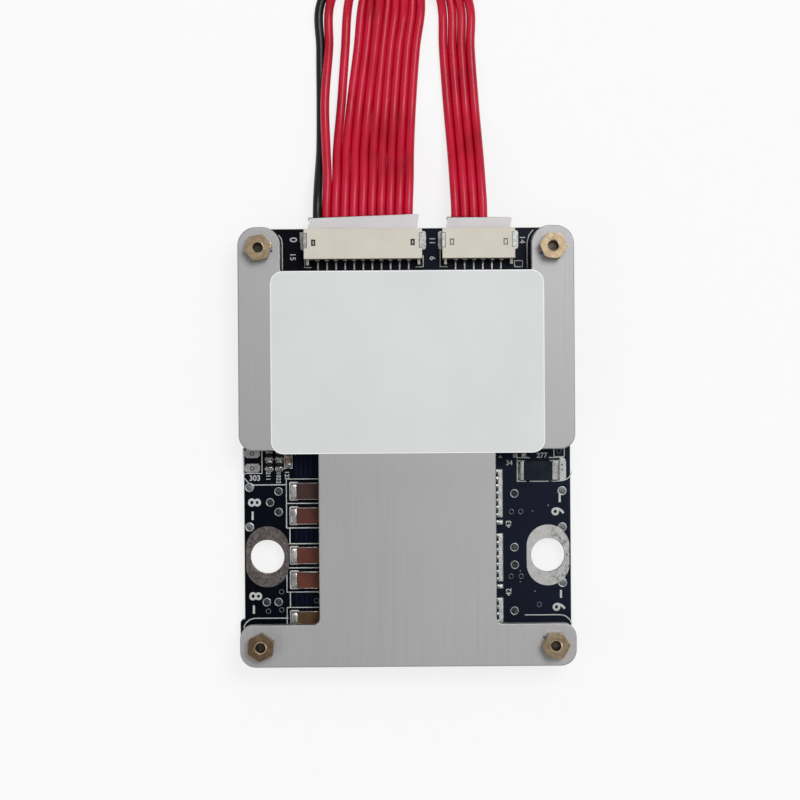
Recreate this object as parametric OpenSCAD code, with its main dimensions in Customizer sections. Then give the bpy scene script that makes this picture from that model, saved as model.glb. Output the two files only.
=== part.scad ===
// Battery management board: a black circuit board under an aluminium heat spreader, with
// power transistors between them, two side-entry headers and their plugs and sense leads.
// X runs across the board, Y along it towards the leads, Z up. The origin lies on the
// surface that the board stands on, under the middle of the circuit board.

/* [Circuit board] */
// Width of the circuit board (X)
board_w = 54; // [53:0.5:60]
// Length of the circuit board (Y)
board_l = 72; // [71:0.5:84]
// Thickness of the circuit board
board_t = 1.6; // [1:0.2:2.4]
// Corner radius of the circuit board
board_r = 2.5; // [0.5:0.5:3]
// Length of the stub that is left on the edge where the board was snapped off its panel
stub_l = 3.3; // [2:0.1:5]
// Distance from the stub's middle to the board's lower edge
stub_up = 5.9; // [5:0.1:9]
// How far that stub stands out
stub_out = 0.75; // [0.3:0.05:1.2]

/* [Heat spreader] */
// How far the plate stands out past each side of the board
plate_over = 0.5; // [0:0.1:1.5]
// Thickness of the aluminium plate
plate_t = 2; // [1:0.5:4]
// Outer corner radius of the plate
plate_r = 3; // [1:0.25:3.25]
// Width of each ear beside the headers
ear_w = 7; // [6.75:0.25:8]
// Depth of the notch that clears the headers
notch_l = 7.8; // [7.5:0.1:9]
// Depth of the two side windows (X)
window_d = 13; // [12:0.25:14]
// Length of the two side windows (Y)
window_l = 28.4; // [26:0.2:30]
// Length of the bar below the side windows (Y)
bar_l = 7; // [6.5:0.25:8]
// Radius of the inner corners of the windows
inner_r = 1; // [0.4:0.1:1.5]

/* [Corner fastenings] */
// Distance from the corner screws to the board's side edges
hole_in_x = 3; // [2.7:0.1:3.5]
// Distance from the corner screws to the board's end edges
hole_in_y = 3.5; // [3:0.1:3.8]
// Thread diameter of the screws
screw_d = 2; // [1.6:0.1:2.2]
// Diameter of the screw heads that the board stands on
head_d = 3.8; // [3.4:0.1:4.2]
// Height of the screw heads
head_h = 1.3; // [1:0.1:2]
// Clearance of the holes around the screws, on the diameter
screw_clear = 0.2; // [0.1:0.05:0.4]
// Width across the flats of the brass posts
post_af = 4; // [3.6:0.1:4.5]
// Height of the brass posts
post_h = 2.5; // [2.2:0.1:6]
// Depth of the thread in the posts' tapped holes
thread_deep = 0.2; // [0.15:0.05:0.3]
// How far each screw reaches into its post
screw_grip = 1.2; // [0.8:0.1:1.4]
// Height of the spacers between the board and the plate
spacer_h = 3; // [2.8:0.1:6]
// Outside diameter of the spacers
spacer_d = 4; // [3.4:0.1:4.4]

/* [Power terminals] */
// Margin between each terminal's bare metal and the board's edge
terminal_in = 0.25; // [0.1:0.05:0.5]
// Distance from the terminals' middle to the board's lower edge
terminal_up = 17.8; // [15:0.1:20]
// Bore of each terminal
terminal_bore = 5.6; // [5:0.1:5.8]
// Width of the bare metal round each bore
terminal_w = 7.1; // [6.6:0.1:7.2]
// Length of the bare metal round each bore
terminal_l = 10.1; // [8:0.1:12]
// Thickness of the bare metal on each face
terminal_t = 0.1; // [0.05:0.01:0.2]

/* [Power transistors] */
// Length of a transistor's moulded body, along its leads
fet_l = 9.9; // [9:0.1:10.2]
// Width of a transistor's moulded body
fet_w = 9.9; // [9.8:0.1:10.4]
// Height of a transistor
fet_h = 2.3; // [1.8:0.1:2.5]
// Gap between the transistors of a column
fet_gap = 0.7; // [0.3:0.1:1]
// Pitch of a transistor's leads
fet_lead_pitch = 1.2; // [1.1:0.05:1.25]
// Length of the leads outside the body
fet_lead_l = 1.25; // [0.8:0.05:1.5]
// Thickness of the leads
fet_lead_t = 0.5; // [0.3:0.05:0.6]

/* [Shunts] */
// Length of a current shunt
shunt_l = 5.7; // [5:0.1:6]
// Width of a current shunt
shunt_w = 2.8; // [2.4:0.1:3.2]
// Height of a current shunt
shunt_h = 1; // [0.6:0.1:1.6]
// Spacing of the two shunts of a pair
shunt_pitch = 4.05; // [3.6:0.05:4.4]
// Gap between the left terminal's bare metal and the shunts
shunt_in = 0.15; // [0.1:0.05:0.5]

/* [Headers and plugs] */
// Pitch of the ways
pitch = 1.5; // [1.45:0.01:1.55]
// Ways in the left header
left_ways = 11; // [9:1:12]
// Ways in the right header
right_ways = 6; // [6:1:7]
// Distance from the headers' mouths to the board's upper edge
mouth_in = 0.3; // [0:0.05:0.6]
// Depth of a header, mouth to back
header_d = 4.9; // [4.7:0.1:5.2]
// Height of a header above the board
header_h = 3.7; // [3.5:0.1:4.5]
// Wall of a header under and over its cavity
header_wall = 0.55; // [0.45:0.05:0.6]
// Thickness of a header's back
header_back = 0.7; // [0.5:0.05:0.9]
// Size of a contact pin
pin_s = 0.5; // [0.4:0.02:0.54]
// Clearance round a plug in its header, on each side
plug_clear = 0.05; // [0.03:0.01:0.1]
// How far a plug stands out of its header
plug_out = 1.8; // [1.4:0.1:3]

/* [Sense leads] */
// Outside diameter of a lead
wire_d = 1.4; // [1.1:0.05:1.42]
// Width of the tie round the folded leads
tie_w = 2.5; // [2:0.25:4]
// Thickness of the tie
tie_t = 0.4; // [0.3:0.05:0.6]

/* [Chips under the plate] */
// Side of the monitor chip
monitor_s = 10; // [7:0.5:10.5]
// Side of the control chip
control_s = 7; // [5:0.5:9]
// Height of both chips
chip_h = 1.5; // [1:0.1:2]

/* [Label] */
// Width of the label
label_w = 45; // [38:0.5:50]
// Length of the label
label_l = 30; // [24:0.5:30]
// Thickness of the label
label_t = 0.1; // [0.05:0.01:0.2]

/* [Hidden] */
$fn = 48;
eps = 0.01;   // overrun of a cutter past the face that it opens

// Levels, from the surface up
board_z = head_h;
board_top = board_z + board_t;
plate_z = board_top + spacer_h;
plate_top = plate_z + plate_t;
post_top = plate_top + post_h;

// The plate ends with the board, and stands out at its sides
plate_w = board_w + 2 * plate_over;
plate_l = board_l;

// Corner fastenings: [x, y, turn of the post's first corner]
hole_dx = board_w - 2 * hole_in_x;
hole_dy = board_l - 2 * hole_in_y;
tap_d = screw_d - 2 * thread_deep;
posts = [
    [-hole_dx / 2,  hole_dy / 2, 11],
    [ hole_dx / 2,  hole_dy / 2, -5],
    [-hole_dx / 2, -hole_dy / 2, 25.5],
    [ hole_dx / 2, -hole_dy / 2, 1.5],
];

// Heat spreader
neck_w = plate_w - 2 * window_d;
notch_w = plate_w - 2 * ear_w;
window_y0 = -plate_l / 2 + bar_l;
window_y1 = window_y0 + window_l;
notch_y = plate_l / 2 - notch_l;
label_over = 0.5;    // the label's upper edge overhangs the notch by this much
label_r = 2;

// Terminals
terminal_x = board_w / 2 - terminal_in - terminal_w / 2;
terminal_y = -board_l / 2 + terminal_up;

// Transistors: the right column is set by the neck's edge, the left one by the shunts, and
// their rows by the board's lower edge
fet_below = 1.3;     // the lowest body's distance from the board's lower edge
fet_tip_out = 1.2;   // the right column's leads show past the neck by this much
fet_ways = 8;
fet_tab_l = 0.55;
fet_draft = 0.25;    // a moulded side leans in by this much
fet_parting = 0.6;   // height of the mould's parting line
fet_y = [for (i = [0:2]) -board_l / 2 + fet_below + fet_w / 2 + i * (fet_w + fet_gap)];
fet_top = fet_y[2] + fet_w / 2;
shunt_x = -terminal_x + terminal_w / 2 + shunt_in;
shunt_gap = 0.6;     // between a shunt's inner end and the leads of the left column
right_tip = neck_w / 2 + fet_tip_out;
left_tip = shunt_x + shunt_l + shunt_gap;
shunt_drop = 0.85;   // a pair of shunts sits this much lower than its transistor
shunt_end = 1;       // length of a shunt's bare end

// Chips: the two large ones stand below the headers, the filter chips in a row beside them
chips_down = 11.5;   // from the notch's edge to the large chips' middle
filters_down = 2.6;  // and to the filter chips' middle
chip_pitch = 0.8;    // of a large chip's leads
chip_foot = 1;       // reach of its leads
balance_size = [3.1, 1.6, 0.55];
balance_end = 0.5;   // length of a bare end
balance_gap = 1;

// Headers, in the header's own place: x from its middle, y from its mouth, z from the board
header_over = 4.4;   // the body is this much longer than its first to last pin
plug_over = 3;       // and the plug this much
side_cut = 0.7;      // notch in each side, for the solder tab
side_cut_l = 3.3;
foot_l = 0.9;        // legs behind the housing
foot_w = 0.45;
cavity_d = header_d - header_back;
plug_h = header_h - 2 * header_wall - 2 * plug_clear;
contact_z = header_wall + plug_clear + plug_h / 2;
mouth_y = board_l / 2 - mouth_in;
side_share = [0.392, 0.263];   // of the notch's spare width: left of the left header, right of the right one
spare_w = notch_w - header_len(left_ways) - header_len(right_ways);
left_x = -notch_w / 2 + side_share[0] * spare_w + header_len(left_ways) / 2;
right_x = notch_w / 2 - side_share[1] * spare_w - header_len(right_ways) / 2;
catch_w = 0.7;       // window in the roof for the plug's catch
catch_l = 1.05;
catch_in = 1.55;     // its middle's distance from the housing's end
catch_y = -2.25;
catch_clear = 0.05;  // round the catch in its window
tail_w = 0.3;        // a pin's solder tail
tail_l = 1.7;
tail_t = 0.2;
neck_pin_w = 0.65;   // the broad part of a pin, behind the housing
pin_clear = 0.02;
pin_end = -1.3;      // the pins' tips, from the mouth
tip_gap = 0.3;       // between a plug's nose and the back of the cavity
wire_clear = 0.02;   // round a lead in its plug, on each side
crimp_y = 0.6;       // where a lead's sleeve meets its crimp, from the mouth
box_s = 1.1;         // outside of a contact's box
box_bore = pin_s + 0.1;
box_l = 2.4;
box_clear = 0.05;
crimp_d = 1;
core_d = 0.6;        // stranded core of a lead

// Leads in order from the left: where each lies at the heights in lead_y, beyond the plug.
// The first place is at the plug, and the last is in the folded bundle.
lead_y = [44, 49, 57, 66, 74];
lead_x = [
    [-14.2, -14.0, -13.9, -13.9, -13.7],
    [-12.8, -13.0, -13.2, -12.5, -12.1],
    [-11.1, -11.0, -10.5,  -9.8,  -9.1],
    [ -9.5,  -9.5,  -8.8,  -7.7,  -6.8],
    [ -7.9,  -8.0,  -7.4,  -6.3,  -5.4],
    [ -6.4,  -6.6,  -6.0,  -4.9,  -4.0],
    [ -4.9,  -5.1,  -4.5,  -3.6,  -2.7],
    [ -3.4,  -3.7,  -3.1,  -2.3,  -1.3],
    [ -1.9,  -2.2,  -1.7,  -0.9,   0.1],
    [ -0.4,  -0.7,  -0.2,   0.5,   1.4],
    [  1.0,   0.8,   1.2,   1.9,   2.8],
    [  8.0,   7.7,   7.1,   6.5,   6.1],
    [  9.5,   9.2,   8.6,   8.0,   7.7],
    [ 11.0,  10.7,  10.1,   9.6,   9.3],
    [ 12.5,  12.1,  11.6,  11.2,  10.9],
];
lies = wire_d / 2;   // height of a lead's middle where it lies on the surface
free_y = 39;         // a lead leaves its plug level as far as this
// [y, z] along each lead: down from the plug to the surface
lead_fall = [[58, lies], [71, lies]];
first_fall = [[51, lies], [71, lies]];             // the lowest, under the second
second_fall = [[58, 2.3], [71, lies]];             // crosses over the first
sixth_fall = [[58, lies], [66, 1.2], [71, 1.5]];   // lies a little over its neighbours
bunch_y = 80;        // the leads have risen to their layers here
fold_y = 92;         // and run side by side from here

// Folded bundle: five columns of three layers, in three runs joined by two loops
columns = 5;
layers = 3;
lay_pitch = 1.45;
bundle_w = (columns - 1) * lay_pitch + wire_d;
bundle_h = (layers - 1) * lay_pitch + wire_d;
run_pitch = 7.3;
fold_x = 6;          // middle run
loop_r = 7.1;
loop_near_y = 104;
loop_far_y = 145;
loop_lead_in = 12.7; // a loop starts to swing out this far before its middle
end_y = 153.5;
tip_l = 3;
tie_y = 122;
tie_head = [4.2, 4, 2];

// ---- Flat shapes ----

// Rectangle with round corners, from its lower left corner to its upper right one
module round_rect(p, q, r) {
    union() {
        translate([p.x + r, p.y]) square([q.x - p.x - 2 * r, q.y - p.y]);
        translate([p.x, p.y + r]) square([q.x - p.x, q.y - p.y - 2 * r]);
        for (x = [p.x + r, q.x - r], y = [p.y + r, q.y - r]) translate([x, y]) circle(r);
    }
}

// Filler of an inside corner at the origin, whose walls run along +X and +Y
module corner_fill(r) {
    difference() {
        translate([-eps, -eps]) square(r + eps);
        translate([r, r]) circle(r);
    }
}

module slot_2d(w, l) {
    union() {
        square([w, l - w], center = true);
        for (y = [-1, 1] * (l - w) / 2) translate([0, y]) circle(w / 2);
    }
}

module both_sides() {
    children();
    mirror([1, 0, 0]) children();
}

// Rectangular block that stands on z = 0 of its place, centred across
module block(w, l, h) {
    translate([-w / 2, -l / 2, 0]) cube([w, l, h]);
}

// ---- Board and plate ----

module circuit_board() {
    hole_d = screw_d + screw_clear;
    color("#0d101c")
    translate([0, 0, board_z])
    linear_extrude(board_t)
    difference() {
        union() {
            round_rect([-board_w / 2, -board_l / 2], [board_w / 2, board_l / 2], board_r);
            // stub of the panel's bridge, with round corners
            translate([-board_w / 2, -board_l / 2 + stub_up])
                round_rect([-stub_out, -stub_l / 2], [board_r, stub_l / 2], stub_out * 0.9);
        }
        for (p = posts) translate([p.x, p.y]) circle(d = hole_d);
        for (x = [-1, 1] * terminal_x) translate([x, terminal_y]) circle(d = terminal_bore);
    }
}

// Bare metal round one terminal's bore, on both faces of the board
module terminal(x) {
    translate([x, terminal_y, 0])
    for (z = [board_z - terminal_t, board_top]) translate([0, 0, z])
        linear_extrude(terminal_t)
        difference() {
            slot_2d(terminal_w, terminal_l);
            circle(d = terminal_bore);
        }
}

module terminal_left() { color("#857f7c") terminal(-terminal_x); }
module terminal_right() { color("#b4b4b2") terminal(terminal_x); }

module heat_spreader() {
    hole_d = screw_d + screw_clear;
    band_r = 2.5;
    half = plate_w / 2;
    color("#b4b4b4")
    translate([0, 0, plate_z])
    linear_extrude(plate_t)
    difference() {
        union() {
            round_rect([-half, window_y1], [half, notch_y], band_r);
            both_sides() {
                // ear, and the round in the notch beside it
                round_rect([half - ear_w, notch_y - 3 * plate_r], [half, plate_l / 2], plate_r);
                translate([half - ear_w, notch_y]) mirror([1, 0]) corner_fill(inner_r);
                // rounds of the side window
                translate([neck_w / 2, window_y1]) mirror([0, 1]) corner_fill(inner_r / 2);
                translate([neck_w / 2, window_y0]) corner_fill(inner_r);
            }
            translate([-neck_w / 2, window_y0 - eps]) square([neck_w, window_l + 2 * eps]);
            round_rect([-half, -plate_l / 2], [half, window_y0], plate_r * 0.8);
        }
        for (p = posts) translate([p.x, p.y]) circle(d = hole_d);
    }
}

module label() {
    y1 = notch_y + label_over;
    color("#dadddc")
    translate([0, 0, plate_top])
    linear_extrude(label_t)
    round_rect([-label_w / 2, y1 - label_l], [label_w / 2, y1], label_r);
}

module thermal_pad() {
    x0 = left_tip + fet_lead_l;
    x1 = right_tip - fet_lead_l;
    y0 = fet_y[0] - fet_w / 2;
    y1 = fet_y[2] + fet_w / 2;
    color("#9aa3ad")
    translate([x0, y0, board_top + fet_h])
    cube([x1 - x0, y1 - y0, spacer_h - fet_h]);
}

// ---- Corner fastenings ----

// Hexagon post: chamfered top and bottom, tapped at the top, relieved where the screw sits
module post(p) {
    across = post_af / cos(30);
    cham = 0.25;
    mouth_d = tap_d + 0.4;
    color("#b4a07d")
    translate([p.x, p.y, plate_top])
    difference() {
        intersection() {
            rotate(p[2]) cylinder(h = post_h, d = across, $fn = 6);
            rotate_extrude() polygon([
                [0, 0], [across / 2 - cham, 0], [across / 2, cham * 0.6],
                [across / 2, post_h - cham * 0.6], [across / 2 - cham, post_h], [0, post_h],
            ]);
        }
        translate([0, 0, -eps]) cylinder(h = screw_grip + eps, d = screw_d + screw_clear / 2);
        cylinder(h = post_h + eps, d = tap_d);
        translate([0, 0, post_h - (mouth_d - tap_d) / 2])
            cylinder(h = (mouth_d - tap_d) / 2 + eps, d1 = tap_d, d2 = mouth_d);
    }
}

module post_top_left() { post(posts[0]); }
module post_top_right() { post(posts[1]); }
module post_bottom_left() { color("#786449") post(posts[2]); }
module post_bottom_right() { post(posts[3]); }

// Pan-head screws, heads down, which the board stands on
module screws() {
    cross_w = 0.45;
    cross_l = 2.2;
    cross_deep = 0.8;
    crown = 0.35;
    color("#9a9ca0")
    for (p = posts) translate([p.x, p.y, 0])
        difference() {
            union() {
                rotate_extrude() polygon([
                    [0, 0], [head_d / 2 - crown, 0], [head_d / 2 - crown * 0.3, crown * 0.3],
                    [head_d / 2, crown], [head_d / 2, head_h], [0, head_h],
                ]);
                cylinder(h = plate_top + screw_grip - 0.2, d = screw_d);
            }
            for (a = [0, 90]) rotate(a + p[2]) translate([0, 0, -eps])
                block(cross_w, cross_l, cross_deep + eps);
        }
}

module spacers() {
    color("#a8a9ab")
    for (p = posts) translate([p.x, p.y, board_top])
        linear_extrude(spacer_h) difference() {
            circle(d = spacer_d);
            circle(d = screw_d + screw_clear);
        }
}

// ---- Power stage ----

// Moulded body with leaning sides; its leads leave towards +X from the body's face at x = 0
module fet_body() {
    top = fet_h;
    // side profile across X, then across Y: straight up to the parting line, then leaning in
    color("#17181b")
    intersection() {
        translate([0, fet_w / 2, 0]) rotate([90, 0, 0]) linear_extrude(fet_w) polygon([
            [-fet_l, 0], [0, 0], [0, fet_parting], [-fet_draft, top],
            [-fet_l + fet_draft, top], [-fet_l, fet_parting],
        ]);
        translate([-fet_l, 0, 0]) rotate([90, 0, 90]) linear_extrude(fet_l) polygon([
            [-fet_w / 2, 0], [fet_w / 2, 0], [fet_w / 2, fet_parting],
            [fet_w / 2 - fet_draft, top], [-fet_w / 2 + fet_draft, top], [-fet_w / 2, fet_parting],
        ]);
    }
}

// Seven source leads joined by solder at their tips, one gate lead, and the drain tab
module fet_metal() {
    lead_w = fet_lead_pitch * 0.58;
    joined = fet_lead_l * 0.45;
    first = -(fet_ways - 1) / 2 * fet_lead_pitch;
    tab_w = fet_w * 0.82;
    block_y = first + fet_lead_pitch;
    span = (fet_ways - 2) * fet_lead_pitch;
    union() {
        for (i = [1 : fet_ways - 1])
            translate([0, first + i * fet_lead_pitch - lead_w / 2, 0])
            cube([fet_lead_l, lead_w, fet_lead_t]);
        translate([fet_lead_l - joined, block_y, 0]) cube([joined, span, fet_lead_t * 0.8]);
    }
    translate([0, first - lead_w / 2, 0]) cube([fet_lead_l, lead_w, fet_lead_t]);
    translate([-fet_l - fet_tab_l, -tab_w / 2, 0]) cube([fet_tab_l, tab_w, fet_lead_t]);
}

// A transistor's place: 1 to 3 in the left column and 4 to 6 in the right one, upwards
module at_fet(i) {
    y = fet_y[i % 3];
    if (i < 3) translate([left_tip + fet_lead_l, y, board_top]) mirror([1, 0, 0]) children();
    else translate([right_tip - fet_lead_l, y, board_top]) children();
}

module mosfet_1() { at_fet(0) fet_body(); }
module mosfet_2() { at_fet(1) fet_body(); }
module mosfet_3() { at_fet(2) fet_body(); }
module mosfet_4() { at_fet(3) fet_body(); }
module mosfet_5() { at_fet(4) fet_body(); }
module mosfet_6() { at_fet(5) fet_body(); }

module mosfet_leads() {
    color("#c4c6c8")
    for (i = [0:5]) at_fet(i) fet_metal();
}

// Shunt: a metal strip with bare ends that are thicker than its coated middle
module shunt(i) {
    y = fet_y[floor(i / 2)] - shunt_drop + (i % 2 - 0.5) * shunt_pitch;
    step = 0.12;
    color("#5a2d1e")
    translate([shunt_x, y, board_top])
    translate([0, shunt_w / 2, 0]) rotate([90, 0, 0]) linear_extrude(shunt_w) polygon([
        [0, 0], [shunt_end, 0], [shunt_end, step], [shunt_l - shunt_end, step],
        [shunt_l - shunt_end, 0], [shunt_l, 0], [shunt_l, shunt_h - step],
        [shunt_l - shunt_end, shunt_h - step], [shunt_l - shunt_end - step, shunt_h],
        [shunt_end + step, shunt_h], [shunt_end, shunt_h - step], [0, shunt_h - step],
    ]);
}

module shunt_1() { shunt(0); }
module shunt_2() { shunt(1); }
module shunt_3() { shunt(2); }
module shunt_4() { shunt(3); }
module shunt_5() { shunt(4); }
module shunt_6() { shunt(5); }

// ---- Small parts ----

// Chip with metal ends that wrap its body; w across the board, l along it
module chip(w, l, h, end) {
    wrap = 0.03;
    union() {
        block(w, l, h);
        if (w > l)
            for (x = [-1, 1] * (w - end) / 2) translate([x, 0, 0]) block(end, l + 2 * wrap, h + wrap);
        else
            for (y = [-1, 1] * (l - end) / 2) translate([0, y, 0]) block(w + 2 * wrap, end, h + wrap);
    }
}

module power_resistor() {
    color("#22242c")
    translate([board_w / 2 - 5.2, window_y1 - 3.65, board_top]) chip(6.4, 3.2, 0.6, 1.1);
}

// Two tinned eight-sided pads for a sensor's leads
module sensor_pads() {
    w = 2.6;
    l = 1.5;
    cut = 0.4;
    color("#9c9ea2")
    for (y = [-0.5, -2.93]) translate([-board_w / 2 + 1.4, window_y1 + y, board_top])
        linear_extrude(0.15) polygon([
            [-w / 2 + cut, -l / 2], [w / 2 - cut, -l / 2], [w / 2, -l / 2 + cut], [w / 2, l / 2 - cut],
            [w / 2 - cut, l / 2], [-w / 2 + cut, l / 2], [-w / 2, l / 2 - cut], [-w / 2, -l / 2 + cut],
        ]);
}

module small_resistors() {
    x0 = -board_w / 2;
    color("#2a2b30")
    union() {
        for (x = [4.2, 5.85], y = [-0.8, -2.4])
            translate([x0 + x, window_y1 + y, board_top]) chip(0.85, 1.4, 0.4, 0.35);
        // one beside the right window, and the gate resistors in a row above the transistors
        translate([board_w / 2 - 8.4, window_y1 - 0.9, board_top]) chip(1.4, 0.85, 0.4, 0.35);
        for (i = [-1 : 1]) translate([2.5 * i, fet_top + 0.9, board_top]) chip(1.6, 0.8, 0.45, 0.35);
    }
}

// Filter capacitors in a row under the plate, one for each way, and one beside the window
module small_capacitors() {
    color("#8a6a5c")
    union() {
        translate([-board_w / 2 + 7.35, window_y1 - 1.7, board_top]) chip(0.9, 1.7, 0.8, 0.4);
        for (i = [0 : left_ways - 1]) at_row(left_x + way_x(left_ways, i), filters_down)
            chip(0.8, 1.6, 0.8, 0.35);
        for (i = [0 : right_ways - 1]) at_row(right_x + way_x(right_ways, i), filters_down)
            chip(0.8, 1.6, 0.8, 0.35);
    }
}

// Square chip with bent leads on its four sides
module quad_chip(s, h, ways, step) {
    foot = chip_foot;
    t = chip_foot * 0.15;
    lead_w = step * 0.45;
    union() {
        translate([0, 0, t / 2]) block(s, s, h - t / 2);
        for (side = [0:3], i = [0 : ways - 1]) rotate(side * 90)
            translate([s / 2, (i - (ways - 1) / 2) * step + lead_w / 2, 0])
            rotate([90, 0, 0]) linear_extrude(lead_w) polygon([
                [-t / 3, h / 2], [foot * 0.3, h / 2], [foot * 0.45, t], [foot, t], [foot, 0],
                [foot * 0.35, 0], [foot * 0.2, h / 2 - t], [-t / 3, h / 2 - t],
            ]);
    }
}

module at_row(x, down) { translate([x, notch_y - down, board_top]) children(); }

module monitor_chip() {
    color("#1b1c20")
    at_row(left_x, chips_down) quad_chip(monitor_s, chip_h, floor(monitor_s / chip_pitch) - 1, chip_pitch);
}

module control_chip() {
    color("#1b1c20")
    at_row(right_x, chips_down) quad_chip(control_s, chip_h, floor(control_s / chip_pitch) - 1, chip_pitch);
}

// Bleed resistors that even out the cells, in two rows above the transistors
module balance_resistors() {
    size = balance_size;
    color("#26272b")
    for (i = [-2:2], row = [1:2])
        translate([i * (size.x + balance_gap), fet_top + row * (size.y + balance_gap), board_top])
        chip(size.x, size.y, size.z, balance_end);
}

// ---- Headers ----

function header_len(n) = (n - 1) * pitch + header_over;
function plug_len(n) = (n - 1) * pitch + plug_over;
function way_x(n, i) = (i - (n - 1) / 2) * pitch;
function catch_x(n) = header_len(n) / 2 - catch_in;

module at_header(x) { translate([x, mouth_y, board_top]) children(); }

// Box header, open at its mouth, with a window over each catch and a notch for each solder tab
module header(n) {
    len = header_len(n);
    cav_w = plug_len(n) + 2 * plug_clear;
    color("#d4cdc3")
    difference() {
        union() {
            translate([-len / 2, -header_d, 0]) cube([len, header_d, header_h]);
            both_sides() translate([len / 2 - foot_w - 0.3, -header_d - foot_l, 0])
                cube([foot_w, foot_l + eps, header_h * 0.45]);
        }
        // cavity
        translate([-cav_w / 2, -cavity_d, header_wall])
            cube([cav_w, cavity_d + eps, header_h - 2 * header_wall]);
        // notches for the solder tabs, short of the cavity's wall
        both_sides() translate([len / 2 - side_cut + 0.25, -side_cut_l - 0.1, -eps])
            cube([side_cut, side_cut_l, header_h - 0.5 + eps]);
        // catch windows
        for (x = [-1, 1] * catch_x(n)) translate([x - catch_w / 2, catch_y - catch_l / 2, header_h / 2])
            cube([catch_w, catch_l, header_h]);
        // pin holes through the back, open to the board behind it
        for (i = [0 : n - 1]) translate([way_x(n, i), -header_d - eps, contact_z - pin_s / 2 - pin_clear])
            translate([-pin_s / 2 - pin_clear, 0, 0])
            cube([pin_s + 2 * pin_clear, header_back + 2 * eps, pin_s + 2 * pin_clear]);
    }
}

module header_left() { at_header(left_x) header(left_ways); }
module header_right() { at_header(right_x) header(right_ways); }

// Pin: straight in the cavity, down behind the housing and out along the board
module pins(n) {
    rear = -header_d - pin_clear;
    zc = contact_z;
    color("#c9cbcd")
    for (i = [0 : n - 1]) translate([way_x(n, i), 0, 0]) union() {
        translate([-pin_s / 2, rear, zc - pin_s / 2]) cube([pin_s, pin_end - rear, pin_s]);
        translate([neck_pin_w / 2, 0, 0]) rotate([90, 0, -90]) linear_extrude(neck_pin_w) polygon([
            [-rear, zc + pin_s / 2], [-rear + 0.25, zc + pin_s / 2], [-rear + 0.4, zc],
            [-rear + 0.4, 0], [-rear, 0],
        ]);
        translate([-tail_w / 2, rear - tail_l, 0]) cube([tail_w, tail_l, tail_t]);
    }
}

module pins_left() { at_header(left_x) pins(left_ways); }
module pins_right() { at_header(right_x) pins(right_ways); }

// Angle of sheet metal in each side notch, its foot soldered to the board
module tabs(n) {
    x = header_len(n) / 2 - side_cut + 0.25;
    leaf = 0.25;
    out = 1.15;
    both_sides() translate([x, -side_cut_l, 0]) union() {
        cube([leaf, side_cut_l - 0.2, header_h - 0.9]);
        linear_extrude(0.25) round_rect([0, 0], [out, side_cut_l - 0.2], 0.45);
        cube([leaf + 0.3, side_cut_l - 0.2, 0.25]);
    }
}

module solder_tabs() {
    color("#d3d4d4") {
        at_header(left_x) tabs(left_ways);
        at_header(right_x) tabs(right_ways);
    }
}

// ---- Plugs ----

// Plug: a bar with a cell for each way, a catch at each end and a lip at its outer end
module plug(n) {
    w = plug_len(n);
    y0 = -cavity_d + tip_gap;
    z0 = contact_z - plug_h / 2;
    lip = 0.25;
    hole = wire_d + 2 * wire_clear;
    cell = box_s + 2 * box_clear;
    color("#d2d2d0")
    difference() {
        union() {
            translate([-w / 2, y0, z0]) cube([w, plug_out - y0, plug_h]);
            both_sides() translate([w / 2 - eps, plug_out - 1, z0]) cube([lip + eps, 0.7, plug_h]);
            for (x = [-1, 1] * catch_x(n))
                translate([x - catch_w / 2 + catch_clear, catch_y - catch_l / 2 + catch_clear, header_h / 2])
                cube([catch_w - 2 * catch_clear, catch_l - 2 * catch_clear, header_h / 2 - 0.25]);
        }
        for (i = [0 : n - 1]) translate([way_x(n, i), 0, contact_z]) {
            // lead's entry, contact's cell and the pin's hole at the nose
            translate([-hole / 2, crimp_y - 0.1, -hole / 2]) cube([hole, plug_out, hole]);
            translate([-cell / 2, y0 + 0.4, -cell / 2]) cube([cell, crimp_y - y0 - 0.4, cell]);
            translate([-box_bore / 2, y0 - eps, -box_bore / 2]) cube([box_bore, 0.5, box_bore]);
        }
    }
}

module plug_left() { at_header(left_x) plug(left_ways); }
module plug_right() { at_header(right_x) plug(right_ways); }

// Contact: a box round the pin, a waist and a barrel crimped on the lead's core
module contacts(n, used) {
    y0 = -cavity_d + tip_gap + 0.45;
    y1 = y0 + box_l;
    barrel = crimp_y - y1 - 0.5;
    color("#b9b3a0")
    for (i = [0 : used - 1]) translate([way_x(n, i), 0, contact_z]) union() {
        difference() {
            translate([-box_s / 2, y0, -box_s / 2]) cube([box_s, box_l, box_s]);
            translate([-box_bore / 2, y0 - eps, -box_bore / 2]) cube([box_bore, box_l + 2 * eps, box_bore]);
        }
        translate([-0.4, y1 - 0.2, -box_s / 2]) cube([0.8, crimp_y - y1 + 0.2 - barrel / 2, 0.2]);
        translate([0, crimp_y - barrel, 0]) rotate([-90, 0, 0]) cylinder(h = barrel, d = crimp_d);
    }
}

// The right plug carries the leads that are left over from the left one
right_used = len(lead_x) - left_ways;
module contacts_left() { at_header(left_x) contacts(left_ways, left_ways); }
module contacts_right() { at_header(right_x) contacts(right_ways, right_used); }

// ---- Leads ----

function unit(v) = v / norm(v);
function ease(t) = t * t * (3 - 2 * t);

// Index of the stretch of the list that holds y; each entry starts with its y
function stretch(list, y) =
    len([for (i = [1 : len(list) - 2]) if (list[i][0] <= y) i]);

// Height along a lead: level at each [y, z] entry, eased between them
function eased(list, y) =
    let (i = stretch(list, y), a = list[i], b = list[i + 1])
    y <= a[0] ? a[1] : y >= b[0] ? b[1] : a[1] + (b[1] - a[1]) * ease((y - a[0]) / (b[0] - a[0]));

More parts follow.
